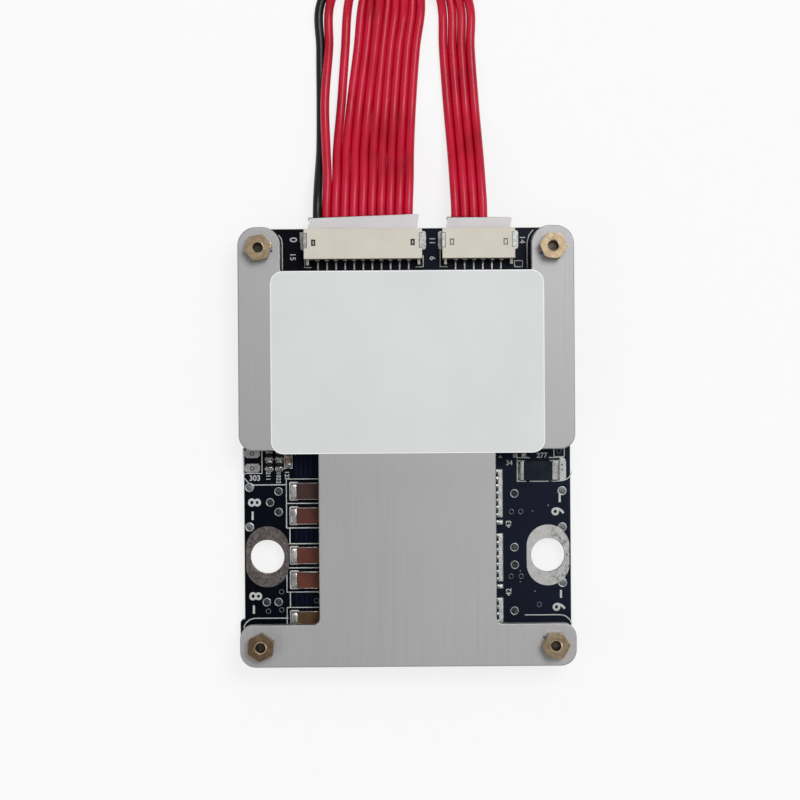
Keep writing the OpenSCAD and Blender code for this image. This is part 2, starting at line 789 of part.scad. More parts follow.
// Slope of a smooth line through [y, x] entries, straight ahead at both ends
function slope(list, i) =
    i <= 0 || i >= len(list) - 1 ? 0
    : (list[i + 1][1] - list[i - 1][1]) / (list[i + 1][0] - list[i - 1][0]);

// Place across, on a cubic through the entries
function smooth(list, y) =
    let (i = stretch(list, y), a = list[i], b = list[i + 1], h = b[0] - a[0],
         t = (y - a[0]) / h, m0 = slope(list, i) * h, m1 = slope(list, i + 1) * h)
    (2 * t^3 - 3 * t^2 + 1) * a[1] + (t^3 - 2 * t^2 + t) * m0
    + (3 * t^2 - 2 * t^3) * b[1] + (t^3 - t^2) * m1;

function plug_x(i) =
    i < left_ways ? left_x + way_x(left_ways, i) : right_x + way_x(right_ways, i - left_ways);
function column_x(i) = fold_x - run_pitch + (floor(i / layers) - (columns - 1) / 2) * lay_pitch;
function layer_z(i) = lies + (i % layers) * lay_pitch;

start_y = mouth_y + crimp_y;
start_z = board_top + contact_z;
ring_y = [start_y, 40, 45, 50, 55, 60, 65, 70, 75, 80, 84, 88, fold_y];

function across(i) = concat(
    [[start_y, plug_x(i)], [free_y, plug_x(i)]],
    [for (k = [0 : len(lead_y) - 1]) [lead_y[k], lead_x[i][k]]],
    [[fold_y, column_x(i)]]);

function fall(i) = i == 0 ? first_fall : i == 1 ? second_fall : i == 5 ? sixth_fall : lead_fall;
function above(i) = concat(
    [[start_y, start_z], [free_y, start_z]], fall(i),
    [[bunch_y, layer_z(i)], [fold_y, layer_z(i)]]);

function route(i) = [for (y = ring_y) [smooth(across(i), y), y, eased(above(i), y)]];

// Ring of eight points round place k of a route; the end rings face straight along Y
function ring(path, k, d) =
    let (last = len(path) - 1,
         along = k == 0 || k == last ? [0, 1, 0] : unit(path[k + 1] - path[k - 1]),
         side = unit(cross(along, [0, 0, 1])), up = cross(side, along))
    [for (a = [22.5 : 45 : 359]) path[k] + d / 2 * (cos(a) * side + sin(a) * up)];

module tube(path, d) {
    sides = 8;
    rings = len(path);
    points = [for (k = [0 : rings - 1]) each ring(path, k, d)];
    walls = [for (k = [0 : rings - 2], j = [0 : sides - 1])
        let (a = k * sides + j, b = k * sides + (j + 1) % sides)
        each [[a, b, a + sides], [b, b + sides, a + sides]]];
    caps = [[for (j = [sides - 1 : -1 : 0]) j], [for (j = [0 : sides - 1]) (rings - 1) * sides + j]];
    polyhedron(points, concat(walls, caps));
}

module lead(i) { color(i == 0 ? "#1e1e23" : "#c81937") tube(route(i), wire_d); }
module lead_01() { lead(0); }
module lead_02() { lead(1); }
module lead_03() { lead(2); }
module lead_04() { lead(3); }
module lead_05() { lead(4); }
module lead_06() { lead(5); }
module lead_07() { lead(6); }
module lead_08() { lead(7); }
module lead_09() { lead(8); }
module lead_10() { lead(9); }
module lead_11() { lead(10); }
module lead_12() { lead(11); }
module lead_13() { lead(12); }
module lead_14() { lead(13); }
module lead_15() { lead(14); }

// Outline of the folded leads: three runs side by side, with a loop swung out at each end
module hank_outline() {
    outer = loop_r + bundle_w / 2;
    left = fold_x - run_pitch - bundle_w / 2;
    right = fold_x + run_pitch + bundle_w / 2;
    union() {
        translate([left, loop_near_y]) square([right - left, loop_far_y - loop_near_y]);
        translate([left, fold_y]) square([bundle_w, loop_near_y - fold_y + eps]);
        translate([right - bundle_w, loop_far_y - eps]) square([bundle_w, end_y - loop_far_y + eps]);
        hull() {
            translate([fold_x + loop_r, loop_near_y]) circle(outer);
            translate([right - 1, loop_near_y]) square([1, loop_lead_in]);
        }
        hull() {
            translate([fold_x - loop_r, loop_far_y]) circle(outer);
            translate([left, loop_far_y - loop_lead_in]) square([1, loop_lead_in]);
        }
    }
}

tie_in = [3 * bundle_w + 2 * (run_pitch - bundle_w), bundle_h];

// Folded leads as one form, grooved underneath for the tie
module lead_hank() {
    color("#b4142f")
    difference() {
        linear_extrude(bundle_h + tie_t) hank_outline();
        translate([fold_x, tie_y, -eps]) block(tie_in.x + 2, tie_w, tie_t + eps);
    }
}

// Tie: a flat band round the three runs, and its head on top
module hank_tie() {
    color("#e8e8e6")
    translate([fold_x, tie_y, 0]) union() {
        difference() {
            translate([0, 0, 0]) block(tie_in.x + 2 * tie_t, tie_w, tie_in.y + 2 * tie_t);
            translate([0, 0, tie_t]) block(tie_in.x, tie_w + 2 * eps, tie_in.y);
        }
        translate([0, 0, tie_in.y + 2 * tie_t - eps]) block(tie_head.x, tie_head.y, tie_head.z);
    }
}

// Stripped and tinned ends of the fifteen cores
module lead_ends() {
    color("#c8c6be")
    for (c = [0 : columns - 1], l = [0 : layers - 1])
        translate([fold_x + run_pitch + (c - (columns - 1) / 2) * lay_pitch, end_y,
                   lies + l * lay_pitch + tie_t / 2])
        rotate([-90, 0, 0]) cylinder(h = tip_l, d = core_d);
}

circuit_board();
terminal_left();
terminal_right();
heat_spreader();
label();
thermal_pad();
post_top_left();
post_top_right();
post_bottom_left();
post_bottom_right();
screws();
spacers();
mosfet_1();
mosfet_2();
mosfet_3();
mosfet_4();
mosfet_5();
mosfet_6();
mosfet_leads();
shunt_1();
shunt_2();
shunt_3();
shunt_4();
shunt_5();
shunt_6();
power_resistor();
sensor_pads();
small_resistors();
small_capacitors();
monitor_chip();
control_chip();
balance_resistors();
header_left();
header_right();
pins_left();
pins_right();
solder_tabs();
plug_left();
plug_right();
contacts_left();
contacts_right();
lead_01();
lead_02();
lead_03();
lead_04();
lead_05();
lead_06();
lead_07();
lead_08();
lead_09();
lead_10();
lead_11();
lead_12();
lead_13();
lead_14();
lead_15();
lead_hank();
hank_tie();
lead_ends();
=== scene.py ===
# %% [markdown]
# # A battery management board, piece by piece
# The board watches the cells of a battery pack. It carries power transistors under a bare
# aluminium plate, two headers for the sense leads, and two wide pads for the battery cables.
# The solid model is loaded first as a fixed frame. Every piece below is made in that frame, so a
# piece goes where the solids say.

# %% The frame
import bmesh
import bpy
from math import acos, cos, hypot, pi, radians, sin, sqrt
from mathutils import Matrix, Vector


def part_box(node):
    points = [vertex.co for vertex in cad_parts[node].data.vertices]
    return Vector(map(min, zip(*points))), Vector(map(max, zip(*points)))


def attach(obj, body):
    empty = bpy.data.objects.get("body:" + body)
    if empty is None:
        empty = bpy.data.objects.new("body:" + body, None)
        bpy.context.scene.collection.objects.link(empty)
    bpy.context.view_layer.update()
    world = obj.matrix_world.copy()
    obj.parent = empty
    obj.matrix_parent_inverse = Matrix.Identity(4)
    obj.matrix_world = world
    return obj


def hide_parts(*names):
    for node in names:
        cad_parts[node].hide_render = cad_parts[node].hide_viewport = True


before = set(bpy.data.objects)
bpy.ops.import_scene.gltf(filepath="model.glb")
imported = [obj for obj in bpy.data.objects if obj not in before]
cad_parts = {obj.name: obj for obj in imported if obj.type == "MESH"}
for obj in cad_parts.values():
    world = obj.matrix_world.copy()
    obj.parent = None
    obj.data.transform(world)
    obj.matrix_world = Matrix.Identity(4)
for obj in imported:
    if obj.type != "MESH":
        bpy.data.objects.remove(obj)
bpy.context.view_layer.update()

MM = 0.001

# %% [markdown]
# ## Heights and places
# The levels come from the solids' own boxes, so that a changed thickness moves everything that
# sits on it. A small helper gives a box in millimetres, because a board is thought of in those.

# %% Levels
def box_mm(node):
    return [[v / MM for v in corner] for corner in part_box(node)]


def middle(low, high):
    return [(a + b) / 2 for a, b in zip(low, high)]


BOARD_UNDER, BOARD_TOP = (corner[2] for corner in box_mm("circuit_board"))
PLATE_LOW, PLATE_HIGH = box_mm("heat_spreader")
PLATE_UNDER, PLATE_TOP = PLATE_LOW[2], PLATE_HIGH[2]
print("board", BOARD_UNDER, BOARD_TOP, "plate", PLATE_UNDER, PLATE_TOP)

# %% [markdown]
# ## The camera
# A board like this is looked at from straight above. The lens is long, so that the raised plate
# hardly shows its sides. The camera is turned by less than half a degree, as a board laid down by
# hand would be.

# %% Camera
VIEW_HEIGHT, VIEW_WIDTH, SENSOR = 380, 130.6, 36
VIEW_AT, VIEW_TURN = (-1.097, 7.588), -0.4


def stand(name, data, place=(0, 0, 0), turn=(0, 0, 0)):
    """Puts a camera, a lamp or a curve in the scene."""
    thing = bpy.data.objects.new(name, data)
    thing.location, thing.rotation_euler = place, turn
    bpy.context.collection.objects.link(thing)
    return thing


lens = bpy.data.cameras.new("camera")
lens.sensor_width, lens.lens, lens.clip_start = SENSOR, SENSOR * VIEW_HEIGHT / VIEW_WIDTH, 0.01
eye = [v * MM for v in (*VIEW_AT, PLATE_TOP + VIEW_HEIGHT)]
bpy.context.scene.camera = stand("camera", lens, eye, (0, 0, radians(VIEW_TURN)))
bpy.context.scene.view_settings.view_transform = "Standard"
print("lens", round(lens.lens, 1), "mm")

# %% [markdown]
# ## Nodes for the finishes
# Each finish is a small network on the principled shader. These helpers add a node, a noise that
# is fixed to the object, and a ramp, so that each finish below reads as a short recipe. What is
# the same all over a surface is written on the shader's own socket.

# %% Node helpers
def new_finish(name, rough=0.5, metal=0.0, **sockets):
    """A material with its shader; sockets are named as on the shader, with _ for a blank."""
    finish = bpy.data.materials.new(name)
    finish.use_nodes = True
    for key, value in {"Roughness": rough, "Metallic": metal, **sockets}.items():
        shader_of(finish).inputs[key.replace("_", " ")].default_value = value
    return finish


def shader_of(finish):
    return finish.node_tree.nodes["Principled BSDF"]


def add(finish, kind, links=(), **settings):
    """Adds a node; links holds (socket, source or value)."""
    node = finish.node_tree.nodes.new("ShaderNode" + kind)
    for key, value in settings.items():
        setattr(node, key, value)
    for socket, source in links:
        join(finish, source, node.inputs[socket])
    return node


def join(finish, source, target):
    if hasattr(source, "outputs"):
        source = source.outputs[0]
    if hasattr(source, "is_output"):
        finish.node_tree.links.new(source, target)
    else:
        target.default_value = source


def places(finish, scale=(1, 1, 1), turn=0):
    """Object coordinates, in millimetres times the scale."""
    coords = add(finish, "TexCoord")
    return add(finish, "Mapping", [
        ("Vector", coords.outputs["Object"]), ("Scale", [s / MM for s in scale]),
        ("Rotation", (0, 0, turn))])


def along(finish, axis="X"):
    return add(finish, "SeparateXYZ", [("Vector", places(finish))]).outputs[axis]


def noise(finish, scale, detail=3.0, rough=0.5, turn=0, distort=0.0):
    """Noise with the given waves per millimetre along X, Y and Z."""
    spot = places(finish, scale if isinstance(scale, tuple) else (scale,) * 3, turn)
    return add(finish, "TexNoise", [
        ("Vector", spot), ("Scale", 1.0), ("Detail", detail), ("Roughness", rough),
        ("Distortion", distort)]).outputs["Fac"]


def linear(colour):
    """Screen colour 0-255 to the shader's linear colour."""
    parts = [v / 255 for v in colour]
    return [v / 12.92 if v < 0.04045 else ((v + 0.055) / 1.055) ** 2.4 for v in parts] + [1.0]


def ramp(finish, value, stops):
    """Colours (or greys as one number) at places along a value."""
    node = add(finish, "ValToRGB", [("Fac", value)])
    marks = node.color_ramp.elements
    while len(marks) < len(stops):
        marks.new(0.5)
    for mark, (place, tint) in zip(marks, stops):
        mark.position = place
        mark.color = linear(tint) if isinstance(tint, tuple) else (tint, tint, tint, 1.0)
    return node.outputs["Color"]


def span(finish, value, low, high, start=0.3, end=0.7):
    """Maps a value from start..end to low..high."""
    return add(finish, "MapRange", [
        ("Value", value), ("From Min", start), ("From Max", end), ("To Min", low),
        ("To Max", high)]).outputs["Result"]


def mixed(finish, amount, first, second, blend="MIX"):
    return add(finish, "MixRGB", [("Fac", amount), ("Color1", first), ("Color2", second)],
               blend_type=blend).outputs["Color"]


def paint(finish, colour, rough=None, relief=None, depth=0.1):
    """Links a colour, a roughness and a relief (depth in millimetres) to the shader."""
    sockets = shader_of(finish).inputs
    join(finish, colour, sockets["Base Color"])
    if relief is not None:
        join(finish, rough, sockets["Roughness"])
        bump = add(finish, "Bump", [
            ("Height", relief), ("Distance", depth * MM), ("Strength", 1.0)])
        join(finish, bump, sockets["Normal"])
    return finish


def patchy(name, shades, patch, fine, rough, relief, stops=(0.3, 0.5, 0.7), **sockets):
    """Three shades in soft patches; a fine noise breaks up the gloss and gives the relief."""
    finish = new_finish(name, **sockets)
    tint = ramp(finish, noise(finish, *patch), list(zip(stops, shades)))
    grain = noise(finish, *fine)
    return paint(finish, tint, span(finish, grain, *rough), grain, relief)


# %% [markdown]
# ## Silicone-covered leads
# The sense leads are thin stranded wires in a soft, slightly glossy sleeve: one black and fourteen
# red. The sleeve takes up a little dust and is never quite one red, so a slow noise moves the
# colour and a fine one breaks up the gloss.

# %% Finishes of the leads
def sleeve_finish(name, *shades):
    return patchy(name, shades, (0.16, 2), (7.0, 3, 0.6), (0.24, 0.38), 0.006, (0.3, 0.5, 0.72),
                  Specular_IOR_Level=0.36)


RED_SLEEVE = sleeve_finish("red_sleeve", (180, 6, 40), (200, 12, 50), (212, 22, 62))
BLACK_SLEEVE = sleeve_finish("black_sleeve", (12, 12, 16), (18, 18, 23), (26, 26, 32))
print("sleeves:", RED_SLEEVE.name, BLACK_SLEEVE.name)

# %% [markdown]
# ## Where each lead runs
# A lead leaves its plug level, sinks to the table in a shallow curve and is then gathered with the
# others into five columns of three. The length that is not in use is folded into a hank in three
# runs, held by a tie. The route is a list of points: a smooth cubic across, an eased fall in
# height, and two wide turns for the folds.

# %% Route of a lead on the way from its plug
WIRE_D, LEAD_LENGTH, LAY_PITCH, PITCH = 1.5, 250, 1.48, 1.5
START_Y, FREE_Y, BUNCH_Y, FOLD_Y = 36.3, 39, 80, 92
START_Z, LIES = BOARD_TOP + 1.85, WIRE_D / 2
FOLD_X, RUN_PITCH = 6, 7.3
LEAD_Y = (44, 49, 57, 66, 74)
LEAD_X = (
    (-14.3, -14.0, -13.9, -13.9, -13.7), (-12.8, -13.0, -13.2, -12.5, -12.1),
    (-11.3, -11.2, -10.5, -9.8, -9.1), (-9.8, -9.7, -8.9, -7.7, -6.8),
    (-8.3, -8.2, -7.5, -6.3, -5.4), (-6.8, -6.7, -6.0, -4.9, -4.0),
    (-5.3, -5.2, -4.5, -3.6, -2.7), (-3.8, -3.7, -3.1, -2.3, -1.3),
    (-2.3, -2.2, -1.7, -0.9, 0.1), (-0.8, -0.7, -0.2, 0.5, 1.4), (0.7, 0.8, 1.2, 1.9, 2.8),
    (8.0, 7.7, 7.1, 6.5, 6.1), (9.5, 9.2, 8.6, 8.0, 7.7), (11.0, 10.7, 10.1, 9.5, 9.15),
    (12.5, 12.2, 11.6, 11.0, 10.65))
LEAD_FALL = [(58, LIES), (71, LIES)]
OWN_FALL = {0: [(51, LIES), (71, LIES)], 1: [(58, 2.3), (71, LIES)],
            5: [(58, LIES), (66, 1.2), (71, 1.5)]}


def ways(side, count):
    """The places of a header's ways along X."""
    x = middle(*box_mm("header_" + side))[0]
    return [x + (k - (count - 1) / 2) * PITCH for k in range(count)]


LEFT_WAYS, RIGHT_WAYS = ways("left", 11), ways("right", 6)
PLUG_X = (LEFT_WAYS + RIGHT_WAYS)[:15]


def bundle_place(i):
    """A lead's place in the bundle: across from its middle, and height."""
    return (i // 3 - 2) * LAY_PITCH, LIES + (i % 3) * LAY_PITCH


def stretch_of(marks, y):
    return max([0] + [k for k in range(1, len(marks) - 1) if marks[k][0] <= y])


def eased(marks, y):
    (y0, a), (y1, b) = marks[stretch_of(marks, y):][:2]
    t = min(max((y - y0) / (y1 - y0), 0), 1)
    return a + (b - a) * t * t * (3 - 2 * t)


def smooth(marks, y):
    k = stretch_of(marks, y)
    (y0, a), (y1, b) = marks[k:k + 2]
    h = y1 - y0
    t = (y - y0) / h

    def slope(n):
        if n <= 0 or n >= len(marks) - 1:
            return 0
        return (marks[n + 1][1] - marks[n - 1][1]) / (marks[n + 1][0] - marks[n - 1][0])

    return ((2 * t**3 - 3 * t**2 + 1) * a + (t**3 - 2 * t**2 + t) * slope(k) * h
            + (3 * t**2 - 2 * t**3) * b + (t**3 - t**2) * slope(k + 1) * h)


def way_out(i):
    """Points a millimetre apart from the plug to the start of the hank."""
    aside, height = bundle_place(i)
    across = ([(START_Y, PLUG_X[i]), (FREE_Y, PLUG_X[i])] + list(zip(LEAD_Y, LEAD_X[i]))
              + [(FOLD_Y, FOLD_X - RUN_PITCH + aside)])
    above = ([(START_Y, START_Z), (FREE_Y, START_Z)] + OWN_FALL.get(i, LEAD_FALL)
             + [(BUNCH_Y, height), (FOLD_Y, height)])
    count = int(FOLD_Y - START_Y)
    rows = [START_Y + (FOLD_Y - START_Y) * k / count for k in range(count + 1)]
    return [(smooth(across, y), y, eased(above, y)) for y in rows]


print("first lead starts", way_out(0)[0], "and reaches", way_out(0)[-1])

# %% [markdown]
# The folds are drawn as a hand would wind them: the bundle swings outward a little, then turns
# right round. A wire on the outside of a turn takes the longer way, so each wire follows its own
# offset from the middle of the bundle. The tie lifts the wires by its own thickness where it
# passes under them.

# %% Route of a lead through the hank
LOOP_R, SWING_R = 7.1, 8
LOOP_NEAR, LOOP_FAR, END_Y = 104, 145, 153.5
TIE_Y, TIE_W, TIE_T = 122, 2.5, 0.4
SWING = acos((RUN_PITCH + SWING_R - LOOP_R) / (LOOP_R + SWING_R))


def walk(path, length=0.0, radius=0.0, turn=0.0):
    """Goes on from the last point: straight, or round an arc (a positive turn is to the left)."""
    x, y, heading = path[-1]
    if turn:
        bend = radius if turn > 0 else -radius
        cx, cy = x - bend * sin(heading), y + bend * cos(heading)
        count = max(6, int(abs(turn) * radius))
        for now in [heading + turn * k / count for k in range(1, count + 1)]:
            path.append((cx + bend * sin(now), cy - bend * cos(now), now))
    else:
        count = max(1, int(length / 1.5))
        for go in [length * k / count for k in range(1, count + 1)]:
            path.append((x + go * cos(heading), y + go * sin(heading), heading))


def hank(i):
    c, height = bundle_place(i)
    path = [(FOLD_X - RUN_PITCH + c, FOLD_Y, pi / 2)]
    walk(path, LOOP_FAR - (LOOP_R + SWING_R) * sin(SWING) - FOLD_Y)
    walk(path, radius=SWING_R + c, turn=SWING)
    walk(path, radius=LOOP_R - c, turn=-(pi + SWING))
    walk(path, LOOP_FAR - LOOP_NEAR)
    walk(path, radius=LOOP_R + c, turn=pi + SWING)
    walk(path, radius=SWING_R - c, turn=-SWING)
    walk(path, END_Y - path[-1][1])
    return [(x, y, height) for x, y, heading in path]


def over_tie(point):
    """The tie passes under the wires, so they rise over it by its thickness."""
    x, y, z = point
    lift = max(0, 1 - max(0, abs(y - TIE_Y) - TIE_W / 2 - 0.3) / 5)
    return x, y, z + TIE_T * lift * lift * (3 - 2 * lift)


def length_of(points):
    return sum((Vector(b) - Vector(a)).length for a, b in zip(points, points[1:]))


ROUTES = [[over_tie(p) for p in way_out(i) + hank(i)[1:]] for i in range(15)]
print("lead lengths", [round(length_of(r), 1) for r in ROUTES], "ends", ROUTES[0][-1])

# %% [markdown]
# ## The leads themselves
# A curve with a round bevel is the natural form of a wire: the route stays editable and the
# sleeve keeps its diameter round every turn.

# %% Leads
def round_line(name, paths, radius, resolution):
    line = bpy.data.curves.new(name, "CURVE")
    line.dimensions, line.use_fill_caps = "3D", True
    line.bevel_depth, line.bevel_resolution = radius, resolution
    for path in paths:
        spline = line.splines.new("POLY")
        spline.points.add(len(path) - 1)
        spline.use_smooth = True
        for point, place in zip(spline.points, path):
            point.co = (*place, 1)
    return line


LEADS = []
for i, route in enumerate(ROUTES):
    colour, finish = ("red", RED_SLEEVE) if i else ("black", BLACK_SLEEVE)
    path = [[v * MM for v in place] for place in route]
    lead = stand(f"sense_lead_{i + 1:02d}",
                 round_line(f"lead_line_{i + 1:02d}", [path], WIRE_D / 2 * MM, 7))
    lead.data.materials.append(finish)
    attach(lead, "root")
    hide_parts(f"lead_{i + 1:02d}", "lead_hank")
    LEADS.append(lead)
print("leads:", len(LEADS), "points in the first:", len(ROUTES[0]))

# %% [markdown]
# ## Floor and light
# A pale floor and a large soft lamp overhead are what a small product is usually set on. The
# metal and the glossy sleeves mirror the same pale surroundings, and the floor stays near white
# where it is looked at, but keeps the soft shadow under the board.

# %% Floor
def white_where_seen(finish, share):
    """Mixes plain white into what the camera and mirror rays see of a surface."""
    rays = add(finish, "LightPath").outputs
    total = rays["Is Camera Ray"]
    for kind in ("Glossy", "Transmission"):
        total = add(finish, "Math", [(0, total), (1, rays[f"Is {kind} Ray"])], operation="ADD",
                    use_clamp=True)
    amount = add(finish, "Math", [(0, total), (1, share)], operation="MULTIPLY")
    white = add(finish, "Emission", [("Color", (1, 1, 1, 1)), ("Strength", 1.0)])
    blend = add(finish, "MixShader", [(0, amount), (1, shader_of(finish).outputs["BSDF"]),
                                      (2, white)])
    join(finish, blend, finish.node_tree.nodes["Material Output"].inputs["Surface"])


pale = new_finish("pale_floor", rough=0.9)
paint(pale, ramp(pale, noise(pale, 0.4), [(0.3, (246, 246, 246)), (0.7, (250, 250, 250))]))
white_where_seen(pale, 0.78)
bpy.ops.object.select_all(action="DESELECT")
bpy.ops.mesh.primitive_plane_add(size=3)
floor = bpy.context.object
floor.name = "floor"
floor.data.materials.append(pale)

# %% [markdown]
# One lamp over the board gives the soft shadow, a weaker one from the side lets the edges of the
# plate shine, and the world fills in evenly from all round.

# %% Lamps and world
def lamp(name, place, size, power):
    data = bpy.data.lights.new(name, "AREA")
    data.shape, data.energy = "RECTANGLE", power
    data.size, data.size_y = size
    stand(name, data, place, (-Vector(place)).to_track_quat("-Z", "Y").to_euler())


lamp("lamp_over", (0.2, 0.24, 0.7), (0.3, 0.3), 2.4)
lamp("lamp_side", (-0.5, -0.2, 0.5), (0.5, 0.4), 0.6)
world = bpy.data.worlds.new("soft_room")
bpy.context.scene.world = world
world.use_nodes = True
world.node_tree.nodes["Background"].inputs["Color"].default_value = (1, 1, 1, 1)
world.node_tree.nodes["Background"].inputs["Strength"].default_value = 0.42
print("lamps and world set")

# %% [markdown]
# ## Finishes of the metal parts
# Aluminium stock is brushed along its length, so its noise is stretched: very short across the
# strokes and long along them. The lower end is painted a little lighter, as painted light.

# %% Brushed plate
PLATE_FINISH = new_finish("brushed_plate", metal=1.0)
strokes = noise(PLATE_FINISH, (7.0, 0.05, 0.05), 4, 0.7)
tint = ramp(PLATE_FINISH, strokes, [(0.25, (163, 162, 163)), (0.75, (175, 174, 175))])
cloud = ramp(PLATE_FINISH, noise(PLATE_FINISH, 0.05, 2), [(0.3, 0.9), (0.7, 1.0)])
tint = mixed(PLATE_FINISH, 0.5, tint, cloud, "MULTIPLY")
# Painted light: the plate grows up to 13 percent lighter from y = -5 to y = -33 mm.
painted_light_foot = span(PLATE_FINISH, along(PLATE_FINISH, "Y"), 1.0, 1.13, -5, -33)
paint(PLATE_FINISH, mixed(PLATE_FINISH, 1.0, tint, painted_light_foot, "MULTIPLY"),
      span(PLATE_FINISH, strokes, 0.46, 0.56), strokes, 0.004)

# %% [markdown]
# Brass posts are turned bright and tarnish in patches. A much brighter brass on the rim of each
# bore is a painted highlight, and one post has a darker copy of the brass as painted shade. Tin
# and solder are dull and patchy, because they were dipped and then handled. All of them are the
# same network with other shades.

# %% Cast and dipped metals
def cast_metal(name, *shades, rough=(0.25, 0.45), size=1.2, metal=1.0, relief=0.004):
    """Metal with soft patches, such as brass, steel, tin or solder."""
    return patchy(name, shades, (size, 4, 0.6), (size * 8, 3, 0.6), rough, relief, metal=metal)


BRASS = cast_metal("turned_brass", (132, 116, 92), (150, 132, 107), (170, 152, 126),
                   rough=(0.24, 0.42))
# Painted highlight: a much brighter brass for the rims of the post bores.
GLINT_BRASS = cast_metal("painted_glint_brass_rim", (196, 170, 136), (216, 192, 160), (240, 222, 194),
                       rough=(0.2, 0.34))
# Painted shade: a darker copy of the brass, for the post at the bottom left.
SHADED_BRASS = cast_metal("painted_shade_brass", (90, 73, 55), (108, 89, 67), (130, 109, 84),
                        rough=(0.32, 0.5))
# Painted shade: the screw steel is dark for the shade deep in the post bores; the sensor hole rims
# use it too.
SHADE_DARK_STEEL = cast_metal("steel_dark_as_shade", (50, 46, 42), (68, 62, 57), (94, 88, 82))
SPACER_METAL = cast_metal("spacer_tube", (150, 152, 156), (172, 174, 178), (190, 192, 196))
TIN = cast_metal("bright_tin", (112, 112, 112), (146, 146, 145), (186, 186, 184),
                 rough=(0.2, 0.36), size=2.5)
SOLDER = cast_metal("solder", (112, 111, 109), (150, 149, 146), (186, 185, 182),
                    rough=(0.16, 0.34), size=0.9, relief=0.012)
BAR_SOLDER = cast_metal("bar_solder", (190, 190, 189), (222, 222, 221), (246, 246, 245),
                        rough=(0.22, 0.36), size=0.7, metal=0.3, relief=0.002)
CLIP_TIN = cast_metal("clip_tin", (130, 130, 129), (164, 164, 163), (204, 204, 203),
                      rough=(0.24, 0.38), size=1.5, metal=0.75, relief=0.002)
FLAT_SOLDER = cast_metal("flat_solder", (150, 150, 148), (176, 176, 174), (206, 206, 204),
                         rough=(0.2, 0.34), size=0.5, relief=0.0015)
COPPER_TIN = cast_metal("tinned_strand", (188, 178, 160), (206, 198, 184), (222, 218, 208),
                        rough=(0.2, 0.35), size=3.0)
print("metals:", PLATE_FINISH.name, BRASS.name, SOLDER.name)

# %% [markdown]
# The battery pads carry the wear of many ring terminals: the left one has gone dark and mottled,
# the right one is still bright with scuffs. Two noises of different size make the patches, and a
# stretched one draws the scuffs.

# %% Worn tin of the battery pads
def worn_pad(name, stops, scuff, turn, least, grain=1.0, side=(-100, -99), soft=0.08):
    """Scuffs grow along X from nothing to full between the two places of side."""
    finish = new_finish(name, metal=0.85)
    patch = noise(finish, (1.1 * grain, 0.9 * grain, 0.5), 7, 0.72, turn, 0.5)
    lines = noise(finish, (1.3, 0.8, 1.0), 4, 0.7, turn, 1.2)
    mark = ramp(finish, lines, [(least, 0.0), (least + soft, 1.0)])
    share = span(finish, along(finish), 0.0, 1.0, *side)
    both = mixed(finish, mixed(finish, 1.0, mark, share, "MULTIPLY"), ramp(finish, patch, stops),
                 linear(scuff))
    return paint(finish, both, span(finish, patch, 0.5, 0.34), noise(finish, 6.0, 3, 0.6), 0.02)


WORN_LEFT = worn_pad("darkened_tin", [(0.34, (58, 52, 52)), (0.46, (86, 79, 78)),
                                      (0.56, (108, 101, 100)), (0.7, (146, 140, 138))],
                     (66, 60, 60), 0.4, 0.62, 2.2)
WORN_RIGHT = worn_pad("scuffed_tin", [(0.3, (156, 155, 154)), (0.45, (176, 175, 174)),
                                      (0.7, (192, 191, 190))], (96, 93, 91), -0.5, 0.47, 1.0,
                      (22.4, 24.6), 0.2)
print("pads:", WORN_LEFT.name, WORN_RIGHT.name)

# %% [markdown]
# ## Finishes of the moulded and coated parts
# Connector nylon is cream and slightly waxy, the plugs are the same nylon without the filler and
# let some light through. Epoxy bodies are matt, and resistor coats are printed or fired.

# %% Plastics and coats
def moulded(name, *shades, rough=(0.42, 0.56), size=0.5, relief=0.006, **sockets):
    """Plastic, paper or fired coat: nearly one shade, with a fine break in its gloss."""
    return patchy(name, shades, (size, 3), (9.0, 3, 0.6), rough, relief, **sockets)


HEADER_NYLON = moulded("header_nylon_cream", (214, 207, 193), (219, 213, 199), (223, 217, 204),
                       size=0.2)
PLUG_NYLON = moulded("plug_nylon_clear", (220, 216, 217), (226, 222, 223), (232, 228, 229),
                     rough=(0.3, 0.44), size=0.25, Transmission_Weight=0.12, IOR=1.5)
TIE_NYLON = moulded("tie_nylon_white", (214, 214, 210), (224, 224, 221), (233, 233, 230),
                    rough=(0.32, 0.46))
EPOXY = moulded("moulding_epoxy", (24, 24, 26), (31, 31, 33), (40, 40, 42), rough=(0.5, 0.66))
RESISTOR_COAT = moulded("resistor_coat", (22, 27, 36), (29, 34, 43), (37, 43, 53),
                        rough=(0.3, 0.5), Specular_IOR_Level=0.05)
CAPACITOR_BODY = moulded("capacitor_ceramic", (120, 88, 74), (146, 110, 94), (168, 132, 114),
                         rough=(0.4, 0.55))
BOARD_EDGE = moulded("cut_laminate", (140, 142, 136), (156, 158, 152), (172, 174, 168),
                     rough=(0.6, 0.7))
RUBBER_PAD = moulded("silicone_sheet", (128, 132, 140), (140, 144, 152), (152, 156, 164),
                     rough=(0.6, 0.75), size=0.8, relief=0.02)
LABEL_PAPER = moulded("label_vinyl", (222, 225, 224), (225, 228, 227), (228, 231, 230),
                      rough=(0.38, 0.5), size=0.08, relief=0.003)
LABEL_EDGE_HIGHLIGHT = moulded("painted_label_edge_highlight", (250, 251, 251), (252, 253, 253), (254, 255, 255),
                     rough=(0.4, 0.5))
INK = moulded("printed_white", (182, 185, 183), (196, 199, 197), (210, 213, 211),
              rough=(0.5, 0.6), size=2.0)
BLUE_LACQUER = moulded("screw_lock_blue", (44, 84, 122), (62, 104, 142), (84, 128, 164),
                       rough=(0.3, 0.45), size=2.0)
print("moulded:", HEADER_NYLON.name, PLUG_NYLON.name, LABEL_PAPER.name)

